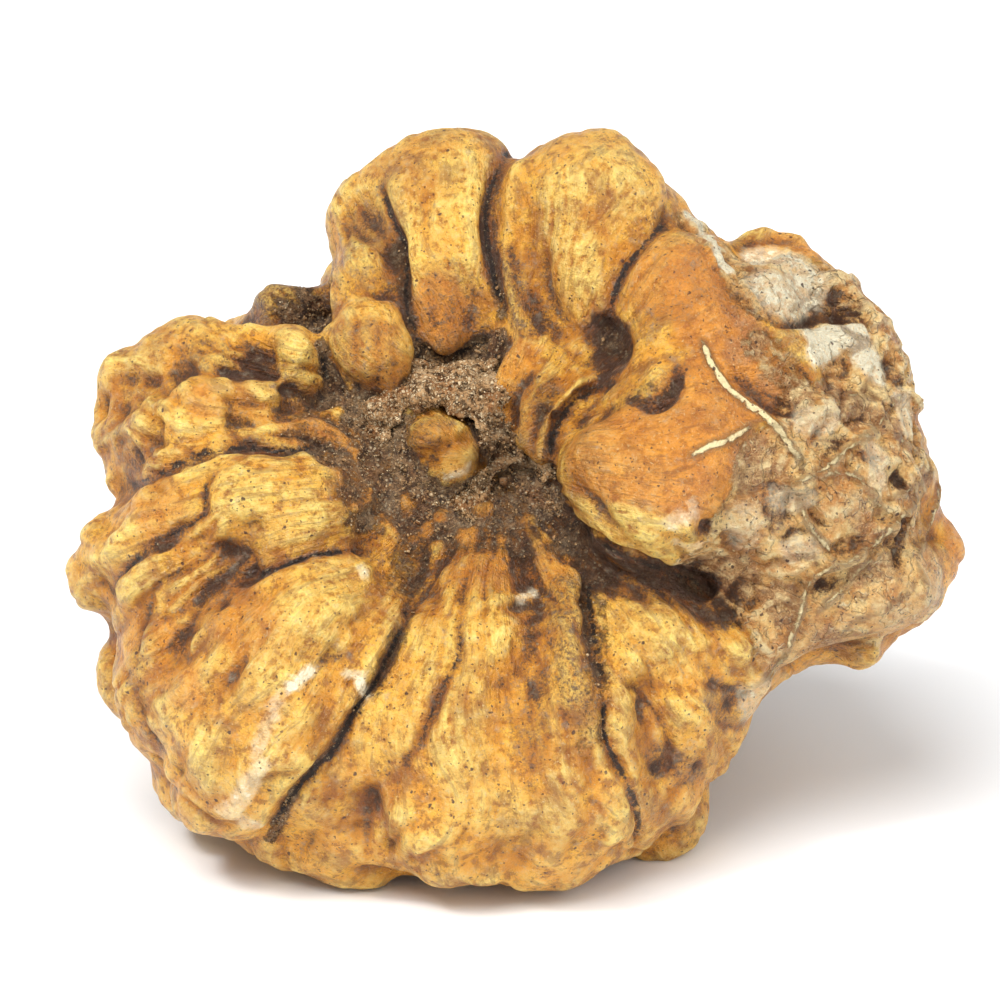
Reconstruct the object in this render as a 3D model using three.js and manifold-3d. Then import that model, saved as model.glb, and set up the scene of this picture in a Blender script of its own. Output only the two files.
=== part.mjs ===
// A white truffle: one lobed, knobbly fruiting body about 89 mm wide, with earth caught in its hollow.
//
// The lobes swell out of a common core round a central hollow, the way the folds of the real fungus do.
// They are laid out on the face of that hollow: x to the right, y up the face, z out of it, in
// millimetres. The face leans back by LEAN when the truffle rests on the flat spot under it.
import * as THREE from "three";
import { mergeVertices } from "three/addons/utils/BufferGeometryUtils.js";
import Module from "manifold-3d";

const LEAN = THREE.MathUtils.degToRad(20); // how far the hollow's face leans back from upright
const FLOOR = 3; // height of the resting plane above the face frame's origin, along world up
const GAP = 0.3; // clearance between the earth and the skin under it
const FACET = 4.9; // length of a facet's edge on the lobes
const FULLNESS = 2.6; // 2 is an ellipsoid; more gives a lobe blunter ends

const wasm = await Module();
wasm.setup();

// Each lobe is a path of beads [x, y, z, radius]: the first and last beads are its two tips.
const CORE = [
  [[-36, 36, -9, 12], [-14, 38, -10, 18], [6, 38, -10, 18.5], [33, 41, -9, 12]],
  [[-24, 18, -8, 10], [-6, 17, -8, 15], [16, 18, -8, 10]],
  [[-4, 66, -12, 8], [-2, 48, -10, 15], [-4, 20, -4, 15], [-4, 6, -4, 10]],
];

const FRONT_FAN = [
  [[-6, 32, 10, 4], [-10, 20, 11, 7], [-14.5, 12, 9, 8.5], [-17, 5, 3, 6]],
  [[-1, 36, 8, 5], [-3, 22, 12, 9], [-5, 10, 10, 10.5], [-6, 3, 3, 7]],
  [[5, 36, 8, 4], [6, 22, 12, 8.5], [5, 11, 10, 10.5], [4.5, 2, 3, 8]],
  [[9, 20, 9, 4], [12, 11, 8, 6], [10.5, 3, 4, 5]],
];

const RIGHT_FRONT = [
  [[13, 34, 5, 4], [15, 26, 9, 7], [15, 15, 7, 7.5], [14, 5, 1, 5]],
  [[25, 31, 4, 5], [20, 24, 6, 7], [17.5, 15, 2, 6.5], [15.5, 9, -1, 5]],
  [[18.5, 13, -2, 3.5], [17, 8, -1, 4.6], [13, 3.5, 1, 4]],
];

const RIGHT_MASS = [
  [[20, 61, -6, 8], [25.5, 50.5, -3.5, 12.5], [28.5, 37.5, -2, 16.5], [29.5, 21, -3, 13]],
  [[26, 26, 3, 5], [35, 29, 2, 9], [43.5, 36, -2, 6]],
  [[43, 37, -1, 3], [44, 34, -2, 3], [43, 30, -2, 3]],
  [[18, 62, -9, 4], [25.5, 60.5, -7, 5.5], [32, 54.5, -7, 6], [37.8, 46, -5, 6], [42, 38, -4, 4]],
];

const RIGHT_BULGE = [
  [[5.5, 42.5, 11, 4.5], [13.5, 40.8, 13, 8.8], [24, 39, 10, 8.2]],
  [[13, 49, 6, 4], [17, 55, 5, 8.2], [19, 67, -3, 6]],
  [[19, 44, 9, 7], [25, 46, 7, 9.5], [31, 50, 2, 7]],
];

const TOP_RIGHT = [
  [[9.5, 76, -4, 9], [9, 67, -1, 10.2], [9.5, 58, 4, 6], [10.5, 52, 6, 3]],
  [[0, 66, 0, 3], [1.5, 59, 2, 4.5], [7, 52, 4, 4]],
  [[2, 57, 3, 3], [5, 49, 6, 5.5], [6, 42, 4, 4]],
  [[-1.5, 53, 2, 3], [0.5, 48, 3, 4], [3.5, 44, 3, 3]],
];

const TOP_LEFT = [
  [[-5, 76, -8, 9], [-5, 68, -5, 9.5], [-5, 58, 0, 7], [-5, 53, 2, 4]],
  [[-11, 73, -9, 6], [-12, 66, -6, 6], [-12.8, 58, -2, 4.5]],
  [[-13.5, 66, -3, 3], [-13, 62.5, -1, 4], [-13, 59, 0, 3]],
  [[-14, 59, 1, 4], [-12.8, 54, 3, 5.2], [-12, 49, 2, 4]],
];

const UPPER_LEFT = [
  [[-16, 54, 2, 4], [-26, 52, 2, 6], [-38.5, 52, -3, 5]],
  [[-23, 54, 3, 3], [-20, 53, 4, 4], [-17, 50, 3, 3]],
  [[-14, 46, 4, 4], [-24, 46, 6, 6.5], [-33, 45, 4, 5.5], [-39, 43, -1, 4]],
  [[-38, 54, -3, 3], [-37.5, 48, -2, 4], [-38, 39, 0, 3]],
  [[-30, 54, -10, 3], [-22, 56, -9, 5.5], [-12, 56, -8, 5]],
];

const MIDDLE_LEFT = [
  [[-14, 43, 7, 2.5], [-24, 43, 8, 4], [-31, 41, 7, 4.5], [-37, 38, 3, 3]],
  [[-29, 38, 8, 3], [-34.5, 35, 5, 5.5], [-38.5, 31, 0, 5], [-36.5, 27, -2, 3]],
  [[-10, 36, 9, 4], [-18, 38, 11, 7], [-26, 38, 10, 6.5], [-30, 33, 9, 6.5], [-35, 28, 6, 5], [-36, 24, 2, 4]],
];

const LOWER_LEFT = [
  [[-10, 31, 10, 5], [-16, 28, 12, 8.5], [-22, 20, 12, 10.5], [-25, 12, 8, 9], [-26, 6.5, 2, 6]],
  [[-12, 24, 12, 4], [-17, 16, 11, 7], [-21, 9, 7, 6]],
  [[-20, 31, 10, 4], [-27, 27, 10, 7], [-32, 20, 6, 7], [-33, 12, 1, 5]],
  [[-35.5, 27, 0, 3], [-36.5, 22, -2, 4.5], [-34.5, 16, -2, 4]],
  [[-33.5, 18, -2, 4], [-29.5, 12, -1, 6], [-25, 7, 1, 5]],
];

const BACK = [
  [[-26, 58, -14, 6], [-28, 44, -20, 12], [-25, 26, -18, 12], [-18, 12, -12, 8]],
  [[-6, 72, -14, 7], [-9, 58, -22, 12], [-9, 36, -27, 13], [-8, 20, -22, 11.5], [-6, 7, -14, 8]],
  [[12, 70, -12, 7], [11, 56, -20, 13], [10, 36, -25, 13], [9, 21, -21, 11], [8, 9, -14, 8]],
  [[26, 62, -12, 6], [28, 48, -16, 12], [25, 32, -18, 12], [18, 18, -12, 9]],
];

const NUB = [[[-8, 47, 4, 4], [-6, 44, 8, 4.8], [-4, 40, 6, 4]]];

// Earth packed into the hollow and the pit beside it, before the lobes under it are cut out of it.
const HOLLOW_EARTH = [
  [[-17, 49, 2, 6], [-8, 46, 3, 7.5], [2, 45, 3, 7.5], [9, 35, 3, 5]],
  [[-14, 40, 3, 4], [-4, 40, 3.5, 7], [6, 38, 3, 5]],
];
const PIT_EARTH = [[[8, 50, 4.5, 3], [13.5, 49.8, 6.5, 4], [19.5, 49.6, 6.5, 3.4]]];

// A sphere drawn out along a smooth curve through the beads, so that straight beads give an ellipsoid.
function lobe(beads, grow = 0) {
  const path = new THREE.CatmullRomCurve3(beads.map(([x, y, z]) => new THREE.Vector3(x, y, z)));
  const radii = new THREE.SplineCurve(beads.map(([, , , r], i) => new THREE.Vector2(i, r + grow)));
  const widest = Math.max(...beads.map((bead) => bead[3]));
  const around = Math.max(9, Math.round((2 * Math.PI * widest) / FACET));
  const along = Math.max(6, Math.round((path.getLength() + 2 * widest) / FACET));
  const sphere = new THREE.SphereGeometry(1, around, along);
  const { points, normals } = stations(path, along);
  const position = sphere.attributes.position;
  for (let ring = 0, i = 0; ring <= along; ring++) {
    const t = (1 - Math.cos((Math.PI * ring) / along)) / 2;
    const width = radii.getPoint(t).y * (1 - Math.abs(2 * t - 1) ** FULLNESS) ** 0.5;
    for (let step = 0; step <= around; step++, i++) {
      const angle = (2 * Math.PI * step) / around;
      const [side, up] = normals[ring];
      const place = points[ring].clone();
      place.addScaledVector(side, width * Math.cos(angle)).addScaledVector(up, width * Math.sin(angle));
      position.setXYZ(i, place.x, place.y, place.z);
    }
  }
  return sphere;
}

// Points along the path, bunched towards its tips, each with two directions square to it.
function stations(path, along) {
  const points = [];
  const normals = [];
  for (let ring = 0; ring <= along; ring++) {
    const t = (1 - Math.cos((Math.PI * ring) / along)) / 2;
    const ahead = path.getTangent(t);
    const side = new THREE.Vector3(0.31, 0.17, 1).cross(ahead).normalize();
    points.push(path.getPoint(t));
    normals.push([side, ahead.clone().cross(side).normalize()]);
  }
  return { points, normals };
}

// A closed geometry as a manifold-3d solid, turned outwards if need be.
function solid(geometry) {
  const bare = new THREE.BufferGeometry().setAttribute("position", geometry.attributes.position);
  bare.setIndex(geometry.index);
  const merged = mergeVertices(bare, 1e-4);
  const triVerts = new Uint32Array(merged.index.array);
  const vertProperties = new Float32Array(merged.attributes.position.array);
  const made = new wasm.Manifold(new wasm.Mesh({ numProp: 3, vertProperties, triVerts }));
  if (made.volume() > 0) return made;
  return new wasm.Manifold(new wasm.Mesh({ numProp: 3, vertProperties, triVerts: triVerts.reverse() }));
}

// A manifold-3d solid as a three.js geometry.
function geometryOf(made) {
  const mesh = made.getMesh();
  const geometry = new THREE.BufferGeometry();
  geometry.setAttribute("position", new THREE.BufferAttribute(mesh.vertProperties, 3));
  geometry.setIndex(new THREE.BufferAttribute(mesh.triVerts, 1));
  return geometry;
}

const joined = (lobes, grow) => lobes.map((beads) => solid(lobe(beads, grow))).reduce((all, one) => all.add(one));

const LOBES = [
  ...CORE, ...FRONT_FAN, ...RIGHT_FRONT, ...RIGHT_MASS, ...RIGHT_BULGE, ...TOP_RIGHT,
  ...TOP_LEFT, ...UPPER_LEFT, ...MIDDLE_LEFT, ...LOWER_LEFT, ...BACK, ...NUB,
];

// Everything under the resting plane is cut away, which leaves the flat spot.
const ground = new THREE.BoxGeometry(200, 200, 100)
  .translate(0, 0, FLOOR - 50)
  .rotateX(LEAN - Math.PI / 2);

// The largest of the bodies that a cut leaves; the rest are crumbs of rounding.
const largest = (made) => made.decompose().sort((a, b) => b.volume() - a.volume())[0];

const body = largest(joined(LOBES).subtract(solid(ground)));
const clear = joined(LOBES, GAP);
const hollowFill = largest(joined(HOLLOW_EARTH).subtract(clear));
const pitFill = largest(joined(PIT_EARTH).subtract(clear));

const skin = new THREE.MeshStandardMaterial({ color: 0xc9983f, roughness: 0.55, metalness: 0 });
const truffle = new THREE.Mesh(geometryOf(body), skin);
truffle.name = "truffle";

const soil = new THREE.MeshStandardMaterial({ color: 0x4a3b2a, roughness: 0.95, metalness: 0 });
const hollowEarth = new THREE.Mesh(geometryOf(hollowFill), soil);
hollowEarth.name = "hollow_earth";
const pitEarth = new THREE.Mesh(geometryOf(pitFill), soil);
pitEarth.name = "pit_earth";

const part = new THREE.Group();
part.add(truffle, hollowEarth, pitEarth);
part.rotation.x = Math.PI / 2 - LEAN;
part.updateMatrixWorld(true);
const box = new THREE.Box3().setFromObject(part, true);
part.position.set(-(box.min.x + box.max.x) / 2, -(box.min.y + box.max.y) / 2, -box.min.z);

export default part;
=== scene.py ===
# %% [markdown]
# # A white truffle, with earth in its folds
#
# A white truffle is one solid lump of fungus. It grows underground, so it swells round stones and roots and
# comes out lobed and folded, with a hollow where the folds meet and earth packed into it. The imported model
# gives its lobes at their real size. These cells turn those plain lobes into skin: they soften them, cut the
# creases between them, raise the small bulges and veins, and then colour the surface.

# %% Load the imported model, which is the fixed frame for everything here
import math

import bmesh
import bpy
import numpy as np
from mathutils import Matrix, Vector, noise
from mathutils.bvhtree import BVHTree
from mathutils.kdtree import KDTree


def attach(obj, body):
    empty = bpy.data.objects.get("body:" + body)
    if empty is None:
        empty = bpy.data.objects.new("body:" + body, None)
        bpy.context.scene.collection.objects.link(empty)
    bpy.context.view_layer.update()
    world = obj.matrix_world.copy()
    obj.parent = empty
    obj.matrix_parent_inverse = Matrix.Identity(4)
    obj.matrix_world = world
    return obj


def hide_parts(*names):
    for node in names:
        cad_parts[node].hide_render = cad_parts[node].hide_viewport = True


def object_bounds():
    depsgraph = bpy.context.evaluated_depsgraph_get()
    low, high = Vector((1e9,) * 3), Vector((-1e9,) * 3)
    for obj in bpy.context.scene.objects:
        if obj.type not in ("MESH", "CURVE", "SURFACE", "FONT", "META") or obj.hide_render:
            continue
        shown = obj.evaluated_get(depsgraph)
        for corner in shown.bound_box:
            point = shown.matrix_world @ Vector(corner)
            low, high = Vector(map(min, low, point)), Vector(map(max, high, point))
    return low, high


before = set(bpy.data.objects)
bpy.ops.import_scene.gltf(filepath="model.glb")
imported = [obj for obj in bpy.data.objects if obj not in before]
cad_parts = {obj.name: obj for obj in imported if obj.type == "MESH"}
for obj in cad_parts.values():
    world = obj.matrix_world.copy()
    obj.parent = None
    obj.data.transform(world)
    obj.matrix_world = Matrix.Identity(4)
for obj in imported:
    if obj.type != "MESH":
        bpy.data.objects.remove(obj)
CAD_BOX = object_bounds()
MM = 0.001
LOW, HIGH = CAD_BOX
SEED = 7

print("packed box, mm:", [round(side / MM, 1) for side in HIGH - LOW])

# %% [markdown]
# ## Two ways to say where something is
#
# The world has +Z up. The truffle's face, the side with the hollow, leans back by 20 degrees, so folds are
# easier to place on the face itself: `across` to the right and `up` the face, in millimetres. A point of the
# face is found by looking along the line from the eye through it until that line meets the skin. The face's
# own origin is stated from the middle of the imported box's floor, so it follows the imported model.
#
# Folds, bulges and stains are lists of strokes, written as text to keep them short: a stroke's own numbers, a
# colon, and the points that it runs through, each as across and up. Commas divide the points of a stroke, and
# a semicolon ends it.

# %% The face and the eye that looks at it
LEAN = math.radians(20)
ACROSS = Vector((1, 0, 0))
UP_FACE = Vector((0, math.sin(LEAN), math.cos(LEAN)))
OUT = Vector((0, -math.cos(LEAN), math.sin(LEAN)))
BOX_FOOT = Vector(((LOW.x + HIGH.x) / 2, (LOW.y + HIGH.y) / 2, LOW.z))
FACE_ORIGIN = BOX_FOOT + Vector((-2.3, -18.1, -3.0)) * MM
EYE_HEIGHT = 39.0  # how far up the face the eye looks, mm
EYE_DISTANCE = 500.0


def on_face(across, up, out=0.0):
    """A point from its place on the face and its height over it, all in millimetres."""
    return FACE_ORIGIN + (ACROSS * across + UP_FACE * up + OUT * out) * MM


def read_strokes(text):
    """The strokes in a text: each is its own numbers, and then the list of its points."""
    found = []
    for stroke in " ".join(line for line in text.splitlines() if "#" not in line).split(";")[:-1]:
        *sizes, points = stroke.split(":")
        points = [tuple(map(float, point.split())) for point in points.split(",")]
        found.append((*map(float, " ".join(sizes).split()), points))
    return found


EYE = on_face(0, EYE_HEIGHT, EYE_DISTANCE)

print("the eye is at", [round(c, 3) for c in EYE])

# %% [markdown]
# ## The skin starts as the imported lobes
#
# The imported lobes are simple: they are made of flat facets, with deep gaps where the real lobes have grown
# together. A sculptor would press clay into such gaps first. Here each lump of clay is a chain of balls, and
# a voxel Remesh melts balls and lobes into one skin of small even squares. Swelling that skin and shrinking
# it again closes every narrow gap that is left, because its two sides meet while it is swollen.

# %% Helpers: new pieces, modifiers, and a surface whose points can be smoothed and pushed
VOXEL = 0.5  # side of the squares that the skin is rebuilt from, mm


def placed(name, data):
    """A new object in the scene."""
    piece = bpy.data.objects.new(name, data)
    bpy.context.scene.collection.objects.link(piece)
    return piece


def points_of(mesh):
    """A mesh's points, in millimetres."""
    points = np.empty(len(mesh.vertices) * 3)
    mesh.vertices.foreach_get("co", points)
    return points.reshape(-1, 3) / MM


def settle(piece):
    """Makes the modifiers' result the piece's own mesh."""
    depsgraph = bpy.context.evaluated_depsgraph_get()
    mesh = bpy.data.meshes.new_from_object(piece.evaluated_get(depsgraph))
    piece.modifiers.clear()
    piece.data = mesh


def copy_of(node, name):
    """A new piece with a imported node's surface, its loose triangles merged."""
    bm = bmesh.new()
    bm.from_mesh(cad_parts[node].data)
    bmesh.ops.remove_doubles(bm, verts=bm.verts, dist=0.01 * MM)
    mesh = bpy.data.meshes.new(name)
    bm.to_mesh(mesh)
    bm.free()
    return placed(name, mesh)


def remesh(piece, side):
    """Rebuilds a piece's surface as even squares with sides of that many millimetres."""
    squares = piece.modifiers.new("squares", "REMESH")
    squares.mode = "VOXEL"
    squares.voxel_size = side * MM
    settle(piece)


class Surface:
    """The points of a piece, in millimetres, and the tools that move them."""

    def __init__(self, piece):
        mesh = piece.data
        self.piece = piece
        self.points = points_of(mesh)
        self.ends = np.empty(len(mesh.edges) * 2, int)
        mesh.edges.foreach_get("vertices", self.ends)
        self.ends = self.ends.reshape(-1, 2).T
        self.neighbours = np.bincount(self.ends.ravel(), minlength=len(self.points))
        self.relook()

    def relook(self):
        """Writes the points to the mesh, and finds its normals and what a line of sight meets."""
        mesh = self.piece.data
        mesh.vertices.foreach_set("co", (self.points * MM).ravel())
        mesh.update()
        self.normals = np.empty(self.points.size)
        mesh.vertices.foreach_get("normal", self.normals)
        self.normals = self.normals.reshape(-1, 3)
        bm = bmesh.new()
        bm.from_mesh(mesh)
        self.tree = BVHTree.FromBMesh(bm)
        bm.free()

    def smoothed(self, values, rounds):
        """Values at the points, each averaged with its neighbours' that many times."""
        a, b = self.ends
        for _ in range(rounds):
            total = np.empty_like(values)
            for k in range(values.shape[1]):
                total[:, k] = np.bincount(a, values[b, k], len(values))
                total[:, k] += np.bincount(b, values[a, k], len(values))
            values = (values + total) / (1 + self.neighbours)[:, None]
        return values

    def push(self, amount):
        """Moves each point along its softened normal by that many millimetres."""
        normals = self.smoothed(self.normals, 3)
        normals /= np.linalg.norm(normals, axis=1)[:, None]
        self.points += normals * amount[:, None]
        self.relook()

    def hollowness(self, rounds):
        """How far the skin lies under its surroundings, in millimetres; bumps count below zero."""
        return np.einsum("ij,ij->i", self.smoothed(self.points, rounds) - self.points, self.normals)


# %% Press clay into the gaps
# chains of balls: across, up, out and radius of each, in millimetres
CLAY = read_strokes("""
    # the orange-brown bulge runs on, over the pit beside it, into the upper right lobe and the torn side
    17 60 5.5 6, 18 54.5 8 6, 18.6 49.5 10 6.4, 17.6 44 12.2 8.2; 13.8 48.4 8.6 5, 15 50.6 8 4.6;
    24 56 3.5 7, 25 50 6.6 8, 25 43 7.4 9, 24 36 4 9; 24 33 3.4 8, 27 28 2 8.5, 22 26 5 7.5;
    26.4 61.2 -3.4 5, 30.4 58 -1.4 5.5, 33.4 53.6 0 6.5, 35 48 1 7;
    # the folds that fall from the upper right lobe into the hollow
    8.6 54 3 4, 5.6 51.6 5 4.4, 2.4 48.4 6.2 3.6, 2.6 45.4 6.2 2.6;
    10.6 51.2 5.2 3.8, 7.2 49 6.8 4, 5.2 45.8 7.2 3.2, 4.6 43 6.6 2.4;
    0.6 61 1.4 4.2, 1.6 57 2.2 3.8, 1 53.4 3.6 3.2;
    # the ball under the upper left lobe
    -13.2 60.6 0.2 4, -12.8 57 2.6 4, -12.8 53.6 5.6 4.6, -11.6 50.8 5.6 3;
    # the ground that joins the fan and the lobes on its left to the hollow
    -12.6 41 4.4 5.2, -10.4 36 5.4 5, -9.8 31.4 8.2 4.6; -4.6 34.6 6.6 4.2, 1.6 35.4 6.8 4.2,
    6 34.6 6.6 4, 9.6 31.4 7 4.4;
    # the shelf and the lobes below it
    -19.6 49 3.2 5, -17.6 45 4.2 5, -17 41.4 7.6 5.4; -34.4 33.6 6.2 5.2, -31.6 36.6 7.8 5.8,
    -29 40.6 7.8 5.4;
    # between the lower left lobe and the fan, down to the ground
    -10.4 25 13.8 4.8, -11.8 20.5 14.4 5, -14.4 16 14.4 5, -18.2 11.6 13.4 5;
    -13 7 8.4 6.4, -18.4 7.4 6.6 5.6, -22.4 7.6 6.6 4.6;
""")
BALL_STEP = 0.4  # distance between the balls of a chain, as a share of their radius

skin = copy_of("truffle", "truffle_skin")


def press_clay(piece, chains):
    bm = bmesh.new()
    bm.from_mesh(piece.data)
    for (chain,) in chains:
        for start, end in zip(chain, chain[1:]):
            start, end = np.array(start), np.array(end)
            count = math.ceil(math.dist(start[:3], end[:3]) / (BALL_STEP * start[3]))
            for t in np.arange(count + 1) / count:
                across, up, out, radius = start + (end - start) * t
                where = Matrix.Translation(on_face(across, up, out))
                bmesh.ops.create_icosphere(bm, subdivisions=3, radius=radius * MM, matrix=where)
    bm.to_mesh(piece.data)
    bm.free()


press_clay(skin, CLAY)
print("clay:", len(CLAY), "chains of balls")

# %% Close the narrow gaps
CLOSING = (1.0, -1.0)  # out and back again, mm


def close_gaps(piece):
    for amount in CLOSING:
        remesh(piece, VOXEL)
        swollen = Surface(piece)
        swollen.push(np.full(len(swollen.points), amount))


close_gaps(skin)
print("closed gaps under", 2 * CLOSING[0], "mm wide")

# %% [markdown]
# ### Melting the facets
#
# Averaging each point with its neighbours melts the facets away. It also shrinks a round lobe, so the slow
# part of the change is taken back, which keeps the size.

# %% Melt the facets
MELT_ROUNDS = 20
KEEP_ROUNDS = 110

remesh(skin, VOXEL)
surface = Surface(skin)
melted = surface.smoothed(surface.points, MELT_ROUNDS)
shrinkage = surface.smoothed(melted - surface.points, KEEP_ROUNDS)
surface.points = melted - shrinkage
surface.relook()

print("skin:", len(surface.points), "points")

# %% [markdown]
# ## Strokes: how folds are carved
#
# On the real truffle a fold is a line where two swellings meet, so each one is carved as a stroke: a few
# points on the face, joined by a smooth curve. The stroke is laid on the skin by looking from the eye along
# it, and then every point of the skin near it moves in or out by an amount that depends on its distance from
# the stroke. A crease may have a lip: the skin swells beside it, on the left of a falling stroke or under one
# that runs to the right, and a negative lip swells the other side.

# %% Helpers: draw, lay and press a stroke
STEP = 0.35  # distance between the places of a laid stroke, mm
SETTLE_ROUNDS = 24  # a laid stroke is smoothed, or it would jump from side to side of a valley
FADE = 3.0  # a crease grows to its full depth over this much of its length at each end, mm


def drawn(points):
    """Places about STEP apart on a smooth curve through a stroke's points on the face."""
    if len(points) == 1:
        return np.array(points, float)
    p = np.array([points[0], *points, points[-1]], float)
    places = []
    for a, b, c, d in zip(p, p[1:], p[2:], p[3:]):
        count = max(2, math.ceil(math.dist(b, c) / STEP))
        t = np.arange(count)[:, None] / count
        places.append(b + 0.5 * t * (c - a + t * (2 * a - 5 * b + 4 * c - d + t * (3 * (b - c) + d - a))))
    return np.vstack([*places, p[-1:]])


def laid(surface, points):
    """A stroke's places on the skin, the ways along it and to its right there, and its strength there."""
    places = drawn(points)
    found = []
    for k, (across, up) in enumerate(places):
        hit, normal, *_ = surface.tree.ray_cast(EYE, (on_face(across, up) - EYE).normalized())
        if hit is not None:
            t = min(1.0, (min(k, len(places) - 1 - k) + 1) * STEP / FADE) if len(places) > 1 else 1.0
            found.append((*(hit / MM), *normal, t * t * (3 - 2 * t)))
    if len(found) < 2:
        found = np.array(found).reshape(-1, 7)
        return found[:, :3], np.zeros((len(found), 3)), np.zeros((len(found), 3)), found[:, 6]
    found = np.array(found)
    for _ in range(SETTLE_ROUNDS):
        found[1:-1, :6] = (found[:-2, :6] + 2 * found[1:-1, :6] + found[2:, :6]) / 4
    run = np.append(0, np.cumsum(np.linalg.norm(np.diff(found[:, :3], axis=0), axis=1)))
    evenly = np.linspace(0, run[-1], max(2, math.ceil(run[-1] / STEP)) + 1)
    found = np.stack([np.interp(evenly, run, column) for column in found.T], 1)
    ways = np.gradient(found[:, :3], axis=0)
    ways /= np.linalg.norm(ways, axis=1)[:, None]
    return found[:, :3], ways, np.cross(ways, found[:, 3:6]), found[:, 6]


def near(surface, stroke, reach):
    """The numbers of the skin's points within reach of a laid stroke, each one's distance to its right, and
    how strong the stroke is there."""
    places, ways, rights, strengths = stroke
    if not len(places):
        return np.empty(0, int), np.empty(0), np.empty(0)
    inside = (surface.points > places.min(0) - reach) & (surface.points < places.max(0) + reach)
    ids = np.flatnonzero(inside.all(1))
    gaps = surface.points[ids][:, None, :] - places[None, :, :]
    far = np.einsum("ijk,ijk->ij", gaps, gaps)
    best = far.argmin(1)
    rows = np.arange(len(ids))
    gaps = gaps[rows, best]
    slip = np.clip(np.einsum("ij,ij->i", gaps, ways[best]), -STEP / 2, STEP / 2)
    distance = np.sqrt(np.maximum(far[rows, best] - slip**2, 0))
    side = np.einsum("ij,ij->i", gaps, rights[best])
    kept = distance < reach
    return ids[kept], (distance * np.where(side < 0, -1, 1))[kept], strengths[best][kept]


SHARP = 0.82  # share of a crease's depth that is a narrow cut; the rest is a soft valley round it


def crease(surface, amount, depth, width, lip, points):
    """Sinks a crease, with the skin beside it swollen by lip."""
    reach = max(8 * width, 4.0 if lip else 0)
    ids, side, strength = near(surface, laid(surface, points), reach)
    slot = np.exp(-np.abs(side / width) ** 1.4)
    valley = np.exp(-((side / (3 * width)) ** 2))
    cut = depth * (SHARP * slot + (1 - SHARP) * valley)
    t = np.clip(side * np.sign(lip) / reach, 0, 1)
    swell = abs(lip) * 6.75 * t * (1 - t) ** 2  # its highest point is a third of the way out
    amount[ids] += (swell - cut) * strength


def ridge(surface, amount, height, width, points):
    """Raises a rounded ridge, or sinks a rounded trough where height is below zero."""
    ids, side, strength = near(surface, laid(surface, points), 2.6 * width)
    amount[ids] += height * np.exp(-((side / width) ** 2)) * strength


def swelling(surface, amount, height, width, points):
    """Raises a broad swelling, or sinks a broad hollow where height is below zero."""
    ids, side, _ = near(surface, laid(surface, points), 2.6 * width)
    amount[ids] += height * np.exp(-((side / width) ** 2))


def soften(surface, rounds, strokes):
    """Melts the skin along strokes, each a strength, a width and points, so that lobes flow together."""
    share = np.zeros(len(surface.points))
    for strength, width, points in strokes:
        ids, side, _ = near(surface, laid(surface, points), 2.2 * width)
        share[ids] = np.maximum(share[ids], strength * np.exp(-((side / width) ** 2)))
    surface.points += (surface.smoothed(surface.points, rounds) - surface.points) * share[:, None]
    surface.relook()


def carve(surface, tool, strokes):
    """Presses a list of strokes into the skin together, with one tool."""
    amount = np.zeros(len(surface.points))
    for stroke in strokes:
        tool(surface, amount, *stroke)
    surface.push(surface.smoothed(amount[:, None], 1)[:, 0])


# %% [markdown]
# ## The big forms
#
# Some neighbouring lobes of the real truffle have grown into one: the orange-brown bulge runs on into the
# torn side and up into the upper right lobe. Melting the skin along a stroke fills the valley between them.
# The swellings and hollows that follow are a few millimetres wide, and come before the creases, so that the
# creases lie on the right shape. Each is height, width, and the points that it runs through.

# %% Melt the lobes that have grown together
JOINS = read_strokes("""
    0.9 4: 18 58, 18.4 50, 17.6 45; 0.9 4.5: 24.5 54, 25.5 44, 25 35, 26 29; 0.8 3: 7 53, 2.6 48, 3.2 45;
    0.6 2.6: -12.3 33.9, -19.1 33.3, -26.4 31;
""")
JOIN_ROUNDS = 120

soften(surface, JOIN_ROUNDS, JOINS)
print("joins:", len(JOINS))

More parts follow.
